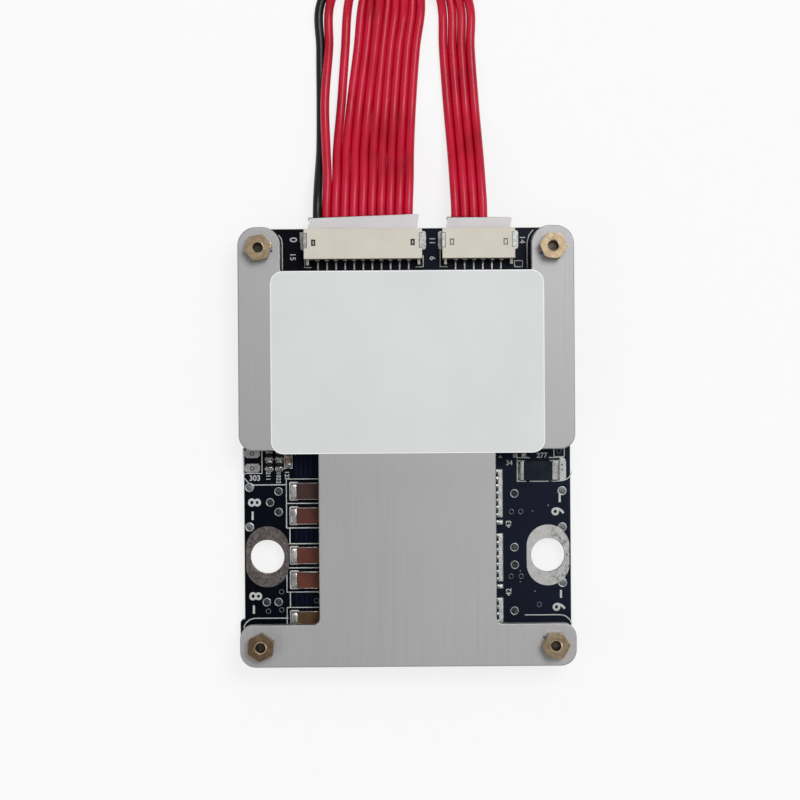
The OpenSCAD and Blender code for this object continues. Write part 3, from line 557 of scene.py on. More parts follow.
# %% [markdown]
# The lacquer of the board is nearly black with a blue cast. Over copper it stands a hair higher
# and looks a little lighter. Towards the right the coat is painted lighter, as painted light.

# %% Solder mask
PAINTED_LIGHT_SPAN, PAINTED_LIGHT_TINT = (-12, 14), (22, 26, 38)


def mask_finish(name, *shades):
    finish = new_finish(name, Specular_IOR_Level=0.06)
    tint = ramp(finish, noise(finish, 0.18, 3, 0.5), list(zip((0.35, 0.5, 0.68), shades)))
    # Painted light: from x = -12 to x = 14 mm the lacquer grows lighter by the added tint.
    thick = span(finish, along(finish), 0.0, 1.0, *PAINTED_LIGHT_SPAN)
    fine = noise(finish, 5.0, 3, 0.6)
    return paint(finish, mixed(finish, thick, tint, linear(PAINTED_LIGHT_TINT), "ADD"),
                 span(finish, fine, 0.26, 0.42), fine, 0.006)


MASK = mask_finish("solder_lacquer", (0, 1, 9), (1, 3, 15), (3, 7, 22))
TRACK = mask_finish("lacquer_on_copper", (6, 11, 32), (9, 15, 42), (13, 20, 50))
print("masks:", MASK.name, TRACK.name)

# %% [markdown]
# ## The bench
# Small parts are modelled in millimetres, because edit tools round off badly at a thousandth of
# that, and are scaled to metres when they are done. `work` adds a primitive and opens it for
# editing, `pick` selects by place or normal, and `finished` closes it, puts its place into the
# mesh and gives it to the board.

# %% Selecting and editing
def rest():
    if bpy.context.object and bpy.context.object.mode != "OBJECT":
        bpy.ops.object.mode_set(mode="OBJECT")
    bpy.ops.object.select_all(action="DESELECT")


def alone(piece, mode="OBJECT"):
    """Makes a piece the only one selected, open for editing if the mode says so."""
    rest()
    piece.select_set(True)
    bpy.context.view_layer.objects.active = piece
    bpy.ops.object.mode_set(mode=mode)
    return piece


def settle():
    """Puts place, turn and scale of what is selected into its mesh."""
    bpy.ops.object.transform_apply(location=True, rotation=True, scale=True)


def work(kind, scale=(1, 1, 1), **settings):
    """Adds a primitive by itself and opens it for editing."""
    rest()
    getattr(bpy.ops.mesh, f"primitive_{kind}_add")(**settings)
    bpy.context.object.scale = scale
    settle()
    bpy.ops.object.mode_set(mode="EDIT")
    return bpy.context.object


def block(low, high):
    """Opens a cube with the given corners."""
    size = [b - a for a, b in zip(low, high)]
    return work("cube", size=1, location=middle(low, high), scale=size)


def middle_of(face):
    return sum((v.co for v in face.verts), Vector()) / len(face.verts)


def is_upper(face):
    return face.normal.z > 0.9


def rise_of(edge):
    return abs(edge.verts[0].co.z - edge.verts[1].co.z)


def pick(test, kind="faces"):
    """Selects the open mesh's faces, edges or verts that pass a test."""
    mesh = bmesh.from_edit_mesh(bpy.context.edit_object.data)
    bpy.ops.mesh.select_mode(type={"faces": "FACE", "edges": "EDGE", "verts": "VERT"}[kind])
    for part in (*mesh.verts, *mesh.edges, *mesh.faces):
        part.select_set(False)
    mesh.normal_update()
    chosen = [part for part in getattr(mesh, kind) if test(part)]
    for part in chosen:
        part.select_set(True)
    mesh.select_flush_mode()
    bmesh.update_edit_mesh(bpy.context.edit_object.data)
    return len(chosen)


def pick_all():
    bpy.ops.mesh.select_all(action="SELECT")


def cut(place, normal):
    pick_all()
    bpy.ops.mesh.bisect(plane_co=place, plane_no=normal, threshold=1e-4)


def extrude(*by):
    bpy.ops.mesh.extrude_region_move(TRANSFORM_OT_translate={"value": by})


def resize(*by):
    bpy.ops.transform.resize(value=by)


# %% [markdown]
# A modifier is added and applied at once, so that the next step works on real faces. A Boolean
# uses up its tool. Parts are joined into the first of them, and copies keep a mesh of their own.

# %% Modifiers, joins and finishes
def modified(piece, kind, **settings):
    """Adds a modifier and applies it."""
    alone(piece)
    change = piece.modifiers.new(kind.lower(), kind)
    for key, value in settings.items():
        setattr(change, key, value)
    bpy.ops.object.modifier_apply(modifier=change.name)
    return piece


def rounded(piece, radius, segments=2, angle=35):
    return modified(piece, "BEVEL", width=radius, segments=segments, limit_method="ANGLE",
                    angle_limit=radians(angle), harden_normals=False)


def carved(pieces, tool, operation="DIFFERENCE"):
    """Cuts pieces with a tool, or keeps what they share with it, and removes the tool."""
    for piece in pieces:
        modified(piece, "BOOLEAN", operation=operation, solver="EXACT", object=tool)
    bpy.data.objects.remove(tool)


def joined(parts):
    """Joins parts into the first of them."""
    alone(parts[0])
    for part in parts:
        part.select_set(True)
    if len(parts) > 1:
        bpy.ops.object.join()
    return parts[0]


def copies(part, spots):
    """Copies a part, each with its own mesh, to places and turns in degrees about Z."""
    made = []
    for x, y, z, turn in spots:
        twin = part.copy()
        twin.data = part.data.copy()
        bpy.context.collection.objects.link(twin)
        twin.data.transform(Matrix.Translation((x, y, z)) @ Matrix.Rotation(radians(turn), 4, "Z"))
        made.append(twin)
    bpy.data.objects.remove(part)
    return made


def coat(piece, *finishes):
    rest()
    piece.data.materials.clear()
    for finish in finishes:
        piece.data.materials.append(finish)
    return piece


def finished(piece, name, node=None, smooth=30):
    """Closes a piece: metres, smooth shading by angle, and the body that it rides on."""
    alone(piece).name = name
    settle()
    piece.scale = (MM, MM, MM)
    settle()
    bpy.ops.object.shade_smooth_by_angle(angle=radians(smooth))
    modified(piece, "WEIGHTED_NORMAL", keep_sharp=True, weight=80)
    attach(piece, "root")
    if node:
        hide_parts(node)
    print(name, len(piece.data.polygons), "faces")
    return piece


# %% [markdown]
# ## The aluminium plate
# The heat spreader is stamped from 2 mm sheet: two ears beside the headers, a wide band, a neck
# between the side windows and a bar across the foot. A plane is cut along the lines of that
# outline, the cells that are open are deleted, and the corners are rounded before the sheet gets
# its thickness.

# %% Plate
def outline_sheet(low, high, corners, bottom, top, cuts_x=(), cuts_y=(), keep=None):
    """A sheet with a stepped outline; corners holds (x, y, radius)."""
    sheet = work("plane", size=1, location=(*middle(low, high), bottom),
                 scale=(high[0] - low[0], high[1] - low[1], 1))
    for x in cuts_x:
        cut((x, 0, 0), (1, 0, 0))
    for y in cuts_y:
        cut((0, y, 0), (0, 1, 0))
    if keep and pick(lambda f: not keep(*middle_of(f)[:2])):
        bpy.ops.mesh.delete(type="FACE")
    pick_all()
    bpy.ops.mesh.dissolve_limited(angle_limit=radians(1))
    for x, y, radius in corners:
        pick(lambda v: hypot(v.co.x - x, v.co.y - y) < 0.02, "verts")
        bpy.ops.mesh.bevel(offset=radius, segments=8, affect="VERTICES", clamp_overlap=False)
    pick_all()
    extrude(0, 0, top - bottom)
    pick_all()
    bpy.ops.mesh.normals_make_consistent(inside=False)
    return sheet


def card(low, high, radius, bottom, top):
    """A flat sheet with four rounded corners."""
    corners = [(x, y, radius) for x in (low[0], high[0]) for y in (low[1], high[1])]
    return outline_sheet(low, high, corners, bottom, top)


EAR, WINDOW = 7, 13
PLATE_LEFT, PLATE_FOOT = PLATE_LOW[:2]
PLATE_RIGHT, PLATE_HEAD = PLATE_HIGH[:2]
EAR_LEFT, EAR_RIGHT = PLATE_LEFT + EAR, PLATE_RIGHT - EAR
NECK_LEFT, NECK_RIGHT = PLATE_LEFT + WINDOW, PLATE_RIGHT - WINDOW
BAR_Y, BAND_Y, NOTCH_Y = -29, -0.6, 28.2


def plate_keeps(x, y):
    if y > NOTCH_Y:
        return not EAR_LEFT < x < EAR_RIGHT
    return y > BAND_Y or y < BAR_Y or NECK_LEFT < x < NECK_RIGHT


PLATE_CORNERS = []
for edge, ear, neck in ((PLATE_LEFT, EAR_LEFT, NECK_LEFT), (PLATE_RIGHT, EAR_RIGHT, NECK_RIGHT)):
    PLATE_CORNERS += [(edge, PLATE_HEAD, 3), (ear, PLATE_HEAD, 3), (ear, NOTCH_Y, 1),
                      (edge, BAND_Y, 2.5), (neck, BAND_Y, 0.5), (neck, BAR_Y, 1),
                      (edge, BAR_Y, 2.3), (edge, PLATE_FOOT, 2.6)]
plate = outline_sheet((PLATE_LEFT, PLATE_FOOT), (PLATE_RIGHT, PLATE_HEAD), PLATE_CORNERS,
                      PLATE_UNDER, PLATE_TOP, (EAR_LEFT, EAR_RIGHT, NECK_LEFT, NECK_RIGHT),
                      (BAR_Y, BAND_Y, NOTCH_Y), plate_keeps)

# %% [markdown]
# Four holes are drilled at the corners, with one tool made of four cylinders. A fine bevel then
# makes the bright line that a tumbled edge shows.

# %% Screw holes of the plate
POSTS = [(x, y) for y in (32.5, -32.5) for x in (-24, 24)]
SCREW_HOLE = 2.2
carved([plate], joined([
    work("cylinder", vertices=32, radius=SCREW_HOLE / 2, depth=4,
         location=(x, y, (PLATE_UNDER + PLATE_TOP) / 2)) for x, y in POSTS]))
rounded(plate, 0.22, 3, 50)
finished(coat(plate, PLATE_FINISH), "heat_plate", "heat_spreader")

# %% [markdown]
# ## The label
# A vinyl label of 45 by 30 mm covers the middle of the plate and hangs a little over the lower
# edge of its band. It is left blank. It is a sheet with rounded corners and a real thickness on a
# near-white sheet that is a little wider, whose edge shows as a painted highlight round the label.

# %% Label
LABEL_LOW, LABEL_HIGH = (corner[:2] for corner in box_mm("label"))
LABEL_LOW = (LABEL_LOW[0] + 0.35, LABEL_LOW[1] + 0.22)
label = []
# Painted highlight: the near-white sheet under the label shows as a bright hairline round its edge.
for grow, bottom, top, finish in ((0.06, 0.005, 0.06, LABEL_EDGE_HIGHLIGHT), (-0.12, 0.05, 0.1, LABEL_PAPER)):
    sheet = card([v - grow for v in LABEL_LOW], [v + grow for v in LABEL_HIGH], 2 + grow,
                 PLATE_TOP + bottom, PLATE_TOP + top)
    label.append(coat(rounded(sheet, 0.02, 2, 50), finish))
finished(joined(label), "blank_label", "label")

# %% [markdown]
# ## The corner posts
# Each corner has a brass hexagon post, tapped M2, that a second board can be screwed to. A
# six-sided cylinder gives the flats. A turned blank with bevelled rims is intersected with it,
# which cuts the curved chamfer that every hexagon has. The hole is drilled with a tool that is
# itself extruded, and the thread is a triangle swept by the Screw modifier.

# %% A post
POST_AF, POST_H = 4, box_mm("post_top_left")[1][2] - PLATE_TOP
POST_TURNS = (11, -5, 25.5, 1.5)
TAP_R, CREST_R, THREAD_DEEP, THREAD_PITCH, SCREW_GRIP = 1.0, 0.84, 0.1, 0.4, 1.2
THREAD_LOW, THREAD_TURNS, THREAD_HALF, ROOT_IN = SCREW_GRIP + 0.1, 2.5, 0.19, 0.03


def thread_in():
    """A helical ridge that stands inward from the bore."""
    ridge = work("circle", vertices=3, radius=THREAD_DEEP * 0.8)
    pick(lambda v: True, "verts")
    mesh = bmesh.from_edit_mesh(ridge.data)
    corners = ((CREST_R + ROOT_IN, -THREAD_HALF), (CREST_R - THREAD_DEEP, 0),
               (CREST_R + ROOT_IN, THREAD_HALF))
    for vert, (x, z) in zip(mesh.verts, corners):
        vert.co = (x, 0, THREAD_LOW + z)
    bmesh.update_edit_mesh(ridge.data)
    steps = int(32 * THREAD_TURNS)
    modified(ridge, "SCREW", angle=2 * pi * THREAD_TURNS, screw_offset=THREAD_PITCH * THREAD_TURNS,
             steps=steps, render_steps=steps, use_merge_vertices=True)
    alone(ridge, "EDIT")
    pick_all()
    bpy.ops.mesh.fill_holes(sides=4)
    pick_all()
    bpy.ops.mesh.normals_make_consistent(inside=False)
    return ridge


def make_post():
    turned = {"radius": POST_AF / sqrt(3), "depth": POST_H, "location": (0, 0, POST_H / 2)}
    post = work("cylinder", vertices=6, rotation=(0, 0, pi / 6), **turned)
    blank = work("cylinder", vertices=72, **turned)
    pick(lambda e: rise_of(e) < 1e-3, "edges")
    bpy.ops.mesh.bevel(offset=0.22, segments=3, affect="EDGES")
    drill = work("cylinder", vertices=48, radius=TAP_R + 0.05, depth=SCREW_GRIP + 1,
                 location=(0, 0, (SCREW_GRIP - 1) / 2))
    pick(is_upper)
    extrude(0, 0, 0)
    resize(0.8, 0.8, 1)
    extrude(0, 0, POST_H - SCREW_GRIP - 0.1)
    extrude(0, 0, 0.1)
    resize(1.2, 1.2, 1)
    extrude(0, 0, 0.5)
    rest()
    carved([post], blank, "INTERSECT")
    carved([post], drill)
    coat(rounded(post, 0.04, 2, 25), BRASS, GLINT_BRASS)
    alone(post, "EDIT")
    # Painted highlight: the faces at the top of the bore's rim get the much brighter brass.
    pick(lambda f: f.calc_center_median().z > POST_H - 0.12
         and all(v.co.xy.length < CREST_R * 1.26 for v in f.verts))
    post.active_material_index = 1
    bpy.ops.object.material_slot_assign()
    return joined([post, coat(thread_in(), BRASS)])


posts = copies(make_post(), [(*place, PLATE_TOP, turn) for place, turn in zip(POSTS, POST_TURNS)])
for post, corner in zip(posts, ("top_left", "top_right", "bottom_left", "bottom_right")):
    # Painted shade: the bottom-left post gets the darker copy of the brass.
    dull = corner == "bottom_left"
    post.data.materials[0] = SHADED_BRASS if dull else BRASS
    finished(post, "hex_post_" + corner, "post_" + corner)

# %% [markdown]
# ## Softening the solids
# The solids of the board, the connectors and the chips already have the right form, but their
# edges are knife sharp. A copy of each is merged, its flat faces are cleaned, and a fine bevel
# gives it the radius that a mould or a cutter leaves. The solid itself stays untouched.

# %% Softened copies
def softened(node, name, slot, finishes, radius=0.06, segments=2, angle=40, shape=None):
    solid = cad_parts[node]
    piece = solid.copy()
    piece.data = solid.data.copy()
    piece.parent = None
    bpy.context.collection.objects.link(piece)
    piece.matrix_world = Matrix.Scale(1 / MM, 4)
    alone(piece)
    settle()
    if piece.data.has_custom_normals:
        bpy.ops.mesh.customdata_custom_splitnormals_clear()
    bpy.ops.object.mode_set(mode="EDIT")
    pick_all()
    bpy.ops.mesh.remove_doubles(threshold=1e-3)
    bpy.ops.mesh.dissolve_limited(angle_limit=radians(0.5))
    if shape:
        shape()
    rounded(piece, radius, segments, angle)
    return finished(coat(piece, *finishes), name, node)


def plug_ends(node, tilt):
    """Draws the lip of a plug into a slanted end and turns its outer face a little."""
    low, high = box_mm(node)
    half = (high[0] - low[0]) / 2

    def shape():
        mesh = bmesh.from_edit_mesh(bpy.context.edit_object.data)
        for vert in mesh.verts:
            across = vert.co.x - middle(low, high)[0]
            if abs(across) > half - 0.05:
                if vert.co.y > high[1] - 0.5:
                    vert.co.y = high[1]
                else:
                    vert.co.x -= 0.2 * across / half
                vert.co.x += 0.35 if across < 0 else 0
            if vert.co.y > high[1] - 1.5:
                vert.co.y += tilt * (across + half)
        bmesh.update_edit_mesh(bpy.context.edit_object.data)

    return shape


board = softened("circuit_board", "lacquered_board", "solder_mask", (MASK, BOARD_EDGE), 0.08, 1, 50)
for face in board.data.polygons:
    face.material_index = 0 if abs(face.normal.z) > 0.9 else 1
SOLIDS = [
    ("screws", "corner_screws", "screw_steel", SHADE_DARK_STEEL),
    ("spacers", "spacer_tubes", "spacer_metal", SPACER_METAL, 0.1, 2, 60),
    ("header_left", "header_shell_left", "header_nylon", HEADER_NYLON, 0.07),
    ("header_right", "header_shell_right", "header_nylon", HEADER_NYLON, 0.07),
    ("plug_left", "plug_body_left", "plug_nylon", PLUG_NYLON, 0.07, 2, 40,
     plug_ends("plug_left", 0.033)),
    ("plug_right", "plug_body_right", "plug_nylon", PLUG_NYLON, 0.07, 2, 40,
     plug_ends("plug_right", 0.0)),
    ("pins_left", "header_pins_left", "tinned_copper", TIN, 0.04, 1),
    ("pins_right", "header_pins_right", "tinned_copper", TIN, 0.04, 1),
    ("contacts_left", "crimp_contacts_left", "contact_metal", COPPER_TIN, 0.04, 1),
    ("contacts_right", "crimp_contacts_right", "contact_metal", COPPER_TIN, 0.04, 1),
    ("solder_tabs", "header_tabs", "lead_metal", CLIP_TIN, 0.08, 2, 60),
    ("thermal_pad", "silicone_gap_pad", "silicone_pad", RUBBER_PAD, 0.1, 2, 60),
    *[(f"mosfet_{k}", f"transistor_{k}", "moulding_black", EPOXY, 0.1) for k in range(1, 7)],
    ("monitor_chip", "cell_monitor", "moulding_black", EPOXY, 0.04, 1),
    ("control_chip", "control_unit", "moulding_black", EPOXY, 0.04, 1)]
soft = {node: softened(node, name, slot, [finish], *edge)
        for node, name, slot, finish, *edge in SOLIDS}

# %% [markdown]
# ## Solder, bodies and pads
# Hand-laid solder is never flat: a lump is a subdivided block whose points are moved a little at
# random, with a fixed seed, and then smoothed. A plain body is a block with rounded edges, and a
# pad is a thin tinned sheet on the board.

# %% Lumps, bodies and pads
def lump(low, high, finish, seed, wobble, slope=0.0, cuts=4):
    """A block of solder with an uneven skin; slope draws its top in."""
    piece = block(low, high)
    if slope:
        pick(is_upper)
        width, depth = high[0] - low[0], high[1] - low[1]
        resize(1 - 2 * slope / width, 1 - 2 * slope / depth, 1)
    pick_all()
    bpy.ops.mesh.subdivide(number_cuts=cuts)
    pick(lambda v: v.co.z > low[2] + 1e-3, "verts")
    bpy.ops.transform.vertex_random(offset=wobble, uniform=1.0, seed=seed)
    bpy.ops.mesh.vertices_smooth(factor=0.5, repeat=2)
    return coat(piece, finish)


def box_part(low, high, finish, radius, segments=2):
    return coat(rounded(block(low, high), radius, segments), finish)


def pad(low, high, finish=SOLDER, corner=0.25):
    return coat(card(low, high, corner, BOARD_TOP + 0.003, BOARD_TOP + 0.035), finish)


# %% [markdown]
# ## Shunts
# The current is measured over a row of wide low-ohm resistors under the edge of the plate. Each
# is a brown coated strip with bare ends, on tinned pads that are larger than the part. Thin seams
# of solder run along the sides of the coat. Each coat has its own shade of brown.

# %% Six shunts
SHUNT_TINTS = ((80, 40, 26), (92, 64, 34), (92, 44, 28), (90, 42, 28), (86, 40, 28), (58, 32, 28))
OUTER_END, INNER_END, SEAM = 1.4, 0.8, 0.07
for k, shade in enumerate(SHUNT_TINTS):
    (x0, y0, z0), (x1, y1, z1) = box_mm(f"shunt_{k + 1}")
    dark, light = (tuple(v * f for v in shade) for f in (0.84, 1.16))
    brown = moulded(f"shunt_coat_{k + 1}", dark, shade, light, rough=(0.5, 0.64), size=0.45,
                    Specular_IOR_Level=0.3)
    parts = [box_part((x0 + OUTER_END - 0.1, y0 + 0.12, z0 + 0.06),
                      (x1 - INNER_END + 0.1, y1 - 0.12, z1), brown, 0.07)]
    for a, b, seed in ((x0 + 0.15, x0 + OUTER_END, 2 * k), (x1 - INNER_END, x1 - 0.15, 2 * k + 1)):
        parts += [lump((a, y0, z0), (b, y1, z1 - 0.04), FLAT_SOLDER, seed, 0.07, 0.12, 5),
                  pad((a - 0.15, y0 - 0.14), (b + 0.1, y1 + 0.14), BAR_SOLDER)]
    for y in (y0 + SEAM, y1 - SEAM):
        parts.append(lump((x0 + 0.6, y - SEAM, z0 + 0.05), (x1 - 0.6, y + SEAM, z1 - 0.14),
                          FLAT_SOLDER, k + 30, 0.03, cuts=6))
    finished(joined(parts), f"shunt_strip_{k + 1}", f"shunt_{k + 1}", 50)

# %% [markdown]
# ## Chip resistors and capacitors
# A chip part is a small ceramic brick whose ends are plated and soldered to two pads. One helper
# makes any of them along X, and each is turned and set at its place. The bleed resistors and the
# filter capacitors repeat the same brick.

# %% A chip part
def chip_part(length, width, height, end, finish):
    """Along X, with its middle at the origin, and its foot on the board."""
    half, side, foot, top = length / 2, width / 2, BOARD_TOP + 0.03, BOARD_TOP + height
    parts = [box_part((-half + end * 0.8, -side + 0.03, foot), (half - end * 0.8, side - 0.03, top),
                      finish, 0.04)]
    for s in (-1, 1):
        cap, solder, flat = (sorted((s * a, s * b)) for a, b in (
            (half, half - end), (half + 0.3, half - end * 0.4), (half + 0.4, half - end * 1.3)))
        parts += [box_part((cap[0], -side, foot), (cap[1], side, top + 0.02), TIN, 0.06),
                  lump((solder[0], -side - 0.04, BOARD_TOP),
                       (solder[1], side + 0.04, BOARD_TOP + height * 0.55),
                       SOLDER, 1, 0.03, 0.1, 3),
                  pad((flat[0], -side - 0.12), (flat[1], side + 0.12), corner=0.12)]
    return joined(parts)


def set_chips(name, slot, node, spots, *brick):
    """Copies a chip part to (x, y, turn) and joins the copies into one piece."""
    made = copies(chip_part(*brick), [(x, y, 0, turn) for x, y, turn in spots])
    finished(joined(made), name, node, 45)


GATE_Y = box_mm("mosfet_3")[1][1] + 0.9
BLEED_LOW, BLEED_HIGH = box_mm("balance_resistors")
BLEED_ROWS = (BLEED_LOW[1] + 0.83, BLEED_HIGH[1] - 0.83)
set_chips("divider_resistors", "resistor_black", "small_resistors",
          [(x, y, 90) for x in (-22.8, -21.15) for y in (-1.4, -3.0)] + [(18.6, -1.5, 0)]
          + [(2.5 * i, GATE_Y, 0) for i in (-1, 0, 1)], 1.4, 0.85, 0.4, 0.35, RESISTOR_COAT)
set_chips("sensor_capacitor", "capacitor_brown", "small_capacitors", [(-19.65, -2.3, 90)],
          1.7, 0.9, 0.8, 0.4, CAPACITOR_BODY)
set_chips("filter_capacitors", "capacitor_brown", "small_capacitors",
          [(x, NOTCH_Y - 2.6, 90) for x in LEFT_WAYS + RIGHT_WAYS], 1.6, 0.8, 0.8, 0.35,
          CAPACITOR_BODY)
set_chips("bleed_resistors", "resistor_black", "balance_resistors",
          [(4.1 * i, y, 0) for i in range(-2, 3) for y in BLEED_ROWS], 3.1, 1.6, 0.55, 0.5,
          RESISTOR_COAT)

# %% [markdown]
# The resistor beside the right window is large enough to show more: its end caps are rounder, the
# right one is wider, a raised window carries its code, and solder climbs its ends.

# %% The large chip resistor at the right window
(x0, y0, z0), (x1, y1, z1) = box_mm("power_resistor")
parts = [box_part((x0 + 0.6, y0 + 0.06, z0 + 0.03), (x1 - 0.9, y1 - 0.06, z1), RESISTOR_COAT, 0.05),
         box_part((x0 + 1.1, y0 + 0.3, z1 - 0.05), (x1 - 1.5, y1 - 0.3, z1 + 0.015), RESISTOR_COAT,
                  0.03, 1)]
for s, (a, b) in enumerate(((x0, x0 + 0.8), (x1 - 1.15, x1))):
    parts += [box_part((a, y0, z0 + 0.03), (b, y1, z1 + 0.01), FLAT_SOLDER, 0.2, 5),
              lump((a - 0.25, y0 + 0.1, BOARD_TOP), (b - 0.3 + 0.55 * s, y1 - 0.1, z1 - 0.12),
                   SOLDER, 40 + s, 0.05, 0.15),
              pad((a - 0.35, y0 - 0.1), (b + 0.2, y1 + 0.1))]
finished(joined(parts), "large_chip_resistor", "power_resistor", 45)

# %% [markdown]
# ## Transistor leads
# The seven source leads of each transistor end in one bar of solder, and the gate lead has a pad
# of its own. Between the leads the dark board shows as small notches, so the leads are modelled
# as separate fingers over a bar.

# %% Combs
FET_PITCH, FET_LEAD, LEAD_HALF = 1.2, 1.25, 0.33
LEADS_LOW, LEADS_HIGH = box_mm("mosfet_leads")


def comb(seed):
    """Leads towards +X with their tips at the origin; the gate lead is the lowest."""
    rows = [(i - 3.5) * FET_PITCH for i in range(8)]
    parts = []
    for y in rows:
        finger = block((-FET_LEAD - 0.05, y - LEAD_HALF, BOARD_TOP + 0.04),
                       (-0.75, y + LEAD_HALF, BOARD_TOP + 0.34))
        pick(lambda f: f.normal.x > 0.9)
        extrude(0.28, 0, 0)
        resize(1, 0.86, 0.8)
        parts.append(coat(rounded(finger, 0.06), TIN))
    source, gate = ((rows[a] - 0.36, rows[b] + 0.36) for a, b in ((1, 7), (0, 0)))
    parts += [lump((-0.75, source[0], BOARD_TOP), (0.02, source[1], BOARD_TOP + 0.44), BAR_SOLDER,
                   seed, 0.035, 0.1, 22),
              lump((-0.72, gate[0], BOARD_TOP), (0.02, gate[1], BOARD_TOP + 0.4), BAR_SOLDER,
                   seed + 1, 0.03, 0.1)]
    parts += [pad((-0.78, low - 0.04), (0.08, high + 0.04), corner=0.12)
              for low, high in (source, gate)]
    return joined(parts)


combs = []
for k in range(1, 7):
    (x0, y0, z0), (x1, y1, z1) = box_mm(f"mosfet_{k}")
    x = x0 - 0.25 if k > 3 else x1 + 0.25
    combs.append(box_part((x - 0.3, y0 + 0.85, BOARD_TOP + 0.02),
                          (x + 0.3, y1 - 0.85, BOARD_TOP + 0.45), TIN, 0.06))
for turn, tip in ((0, LEADS_HIGH[0]), (180, LEADS_LOW[0])):
    for k in range(3):
        part = comb(50 + 3 * k + turn)
        if turn:
            part.data.transform(Matrix.Scale(-1, 4, (1, 0, 0)))
            part.data.flip_normals()
        combs += copies(part, [(tip, middle(*box_mm(f"mosfet_{k + 1}"))[1], 0, 0)])
finished(joined(combs), "transistor_leads", "mosfet_leads", 45)

# %% [markdown]
# ## The battery pads
# Two long pads of tinned copper take the ring terminals of the pack's negative lead and of the
# load. Copper lines the hole as well, so the pad is made as a drilled stadium on each face of the
# board with a sleeve between them, and its rim is a little domed where the tin drew back.

# %% Battery pads
BORE_R, SLEEVE_R, SLEEVE_T = 2.8, 2.83, 0.03


def battery_pad(node, name, finish):
    low, high = box_mm(node)
    x, y = middle(low, high)[:2]
    radius = (high[0] - low[0]) / 2
    reach = (high[1] - low[1]) / 2 - radius
    parts = []
    for base, top in ((BOARD_UNDER - 0.1, BOARD_UNDER + 0.01), (BOARD_TOP - 0.01, BOARD_TOP + 0.1)):
        parts.append(work("cylinder", vertices=96, radius=radius, depth=top - base,
                          location=(x, y, (base + top) / 2)))
        for side in (-1, 1):
            pick(lambda v: (v.co.y - y) * side > 0.01, "verts")
            bpy.ops.transform.translate(value=(0, side * reach, 0))
    carved(parts, work("cylinder", vertices=96, radius=BORE_R, depth=6, location=(x, y, 2)))
    for part in parts:
        rounded(part, 0.05, 3, 60)
    sleeve = work("cylinder", vertices=96, radius=SLEEVE_R, depth=BOARD_TOP - BOARD_UNDER,
                  location=(x, y, (BOARD_TOP + BOARD_UNDER) / 2), end_fill_type="NOTHING")
    parts.append(modified(sleeve, "SOLIDIFY", thickness=SLEEVE_T, offset=-1))
    finished(coat(joined(parts), finish), name, node)


battery_pad("terminal_left", "battery_pad_left", WORN_LEFT)
battery_pad("terminal_right", "battery_pad_right", WORN_RIGHT)

# %% [markdown]
# Two small pads with cut corners wait for a temperature sensor. Each has a plated hole, whose rim
# is a thin dark torus.

# %% Sensor pads
low, high = box_mm("sensor_pads")
sensor = []
for y0, y1 in ((low[1], low[1] + 1.5), (high[1] - 1.5, high[1])):
    x, y = (low[0] + high[0]) / 2, (y0 + y1) / 2
    tablet = work("cube", size=1, location=(x, y, low[2] + 0.06),
                  scale=(high[0] - low[0], y1 - y0, 0.12))
    pick(lambda e: rise_of(e) > 0.05, "edges")
    bpy.ops.mesh.bevel(offset=0.4, segments=1, affect="EDGES")
    rounded(tablet, 0.04)
    rim = work("torus", major_radius=0.3, minor_radius=0.07, major_segments=28, minor_segments=8,
               location=(x, y, low[2] + 0.13))
    # The rims use the steel that is darkened as painted shade.
    sensor += [coat(tablet, FLAT_SOLDER), coat(rim, SHADE_DARK_STEEL)]
finished(joined(sensor), "sensor_solder_pads", "sensor_pads", 45)

# %% [markdown]
# ## Printed lines and numbers
# White ink marks where parts go. All straight and bent lines are one curve object with a round
# bevel, which is pressed flat once it is a mesh.

# %% Printed lines
INK_Z, INK_T = BOARD_TOP + 0.012, 0.008
NECK_IN, LINE_W, FINE_W, BAR_W = -14, 0.17, 0.13, 0.34


def arc(x, y, radius, start, end, count=8):
    return [(x + radius * cos(radians(a)), y + radius * sin(radians(a)))
            for a in [start + (end - start) * k / count for k in range(count + 1)]]


def printed(lines, width):
    paths = [[(x, y, 0) for x, y in points] for points in lines]
    alone(stand("ink_line", round_line("ink_line", paths, width / 2, 1)))
    bpy.ops.object.convert(target="MESH")
    piece = bpy.context.object
    piece.scale, piece.location.z = (1, 1, 0.1), INK_Z
    settle()
    return coat(piece, INK)


LEFT_LINES = [
    [(-20, -13.44), (-20, -5.36), (NECK_IN, -5.36)], [(-20, -9.4), (NECK_IN, -9.4)],
    [(-20, -13.44), (NECK_IN, -13.44)], [(-19.45, -13.44), (-19.45, -16.06)],
    [(NECK_IN, -16.06), (-19.65, -16.06)], [(-19.65, -20.05), (NECK_IN, -20.05)],
    [(-20, -20.4), (-20, -24.05), (NECK_IN, -24.05)], [(-19.45, -24.05), (-19.45, -26.6)],
    [(-20, -29.4), (-20, -26.6), (NECK_IN, -26.6)],
    [(-27.1, -5.0), (-26.1, -6.1)], [(-25.5, -6.3), (-20, -6.3)],
    [(-19.8, -28.35), (-25.2, -28.35)] + arc(-25.2, -30.4, 2.05, 90, 168),
    [(-24, -0.2), (-24, -4.4), (-27.1, -4.4), (-27.1, -0.2)]]
RIGHT_LINES = [
    [(20.3, -2.1), (18.2, -2.1), (18.2, -6.0), (19.7, -6.0)],
    [(20.2, -6.0), (23.4, -6.0)], [(23.9, -6.0), (25.3, -6.0), (25.3, -2.1), (23.4, -2.1)],
    [(25.3, -2.1), (25.8, -2.1), (26.2, -2.8), (26.2, -5.5)],
    [(25.7, -5.85)] + arc(25.7, -4.4, 1.45, -90, 0),
    [(19.3, -28.1), (25.1, -28.1)] + arc(25.1, -30.1, 2.0, 90, 12),
    [(24.3, -0.4), (24.3, -1.95), (26.0, -1.95), (26.0, -0.4)]]
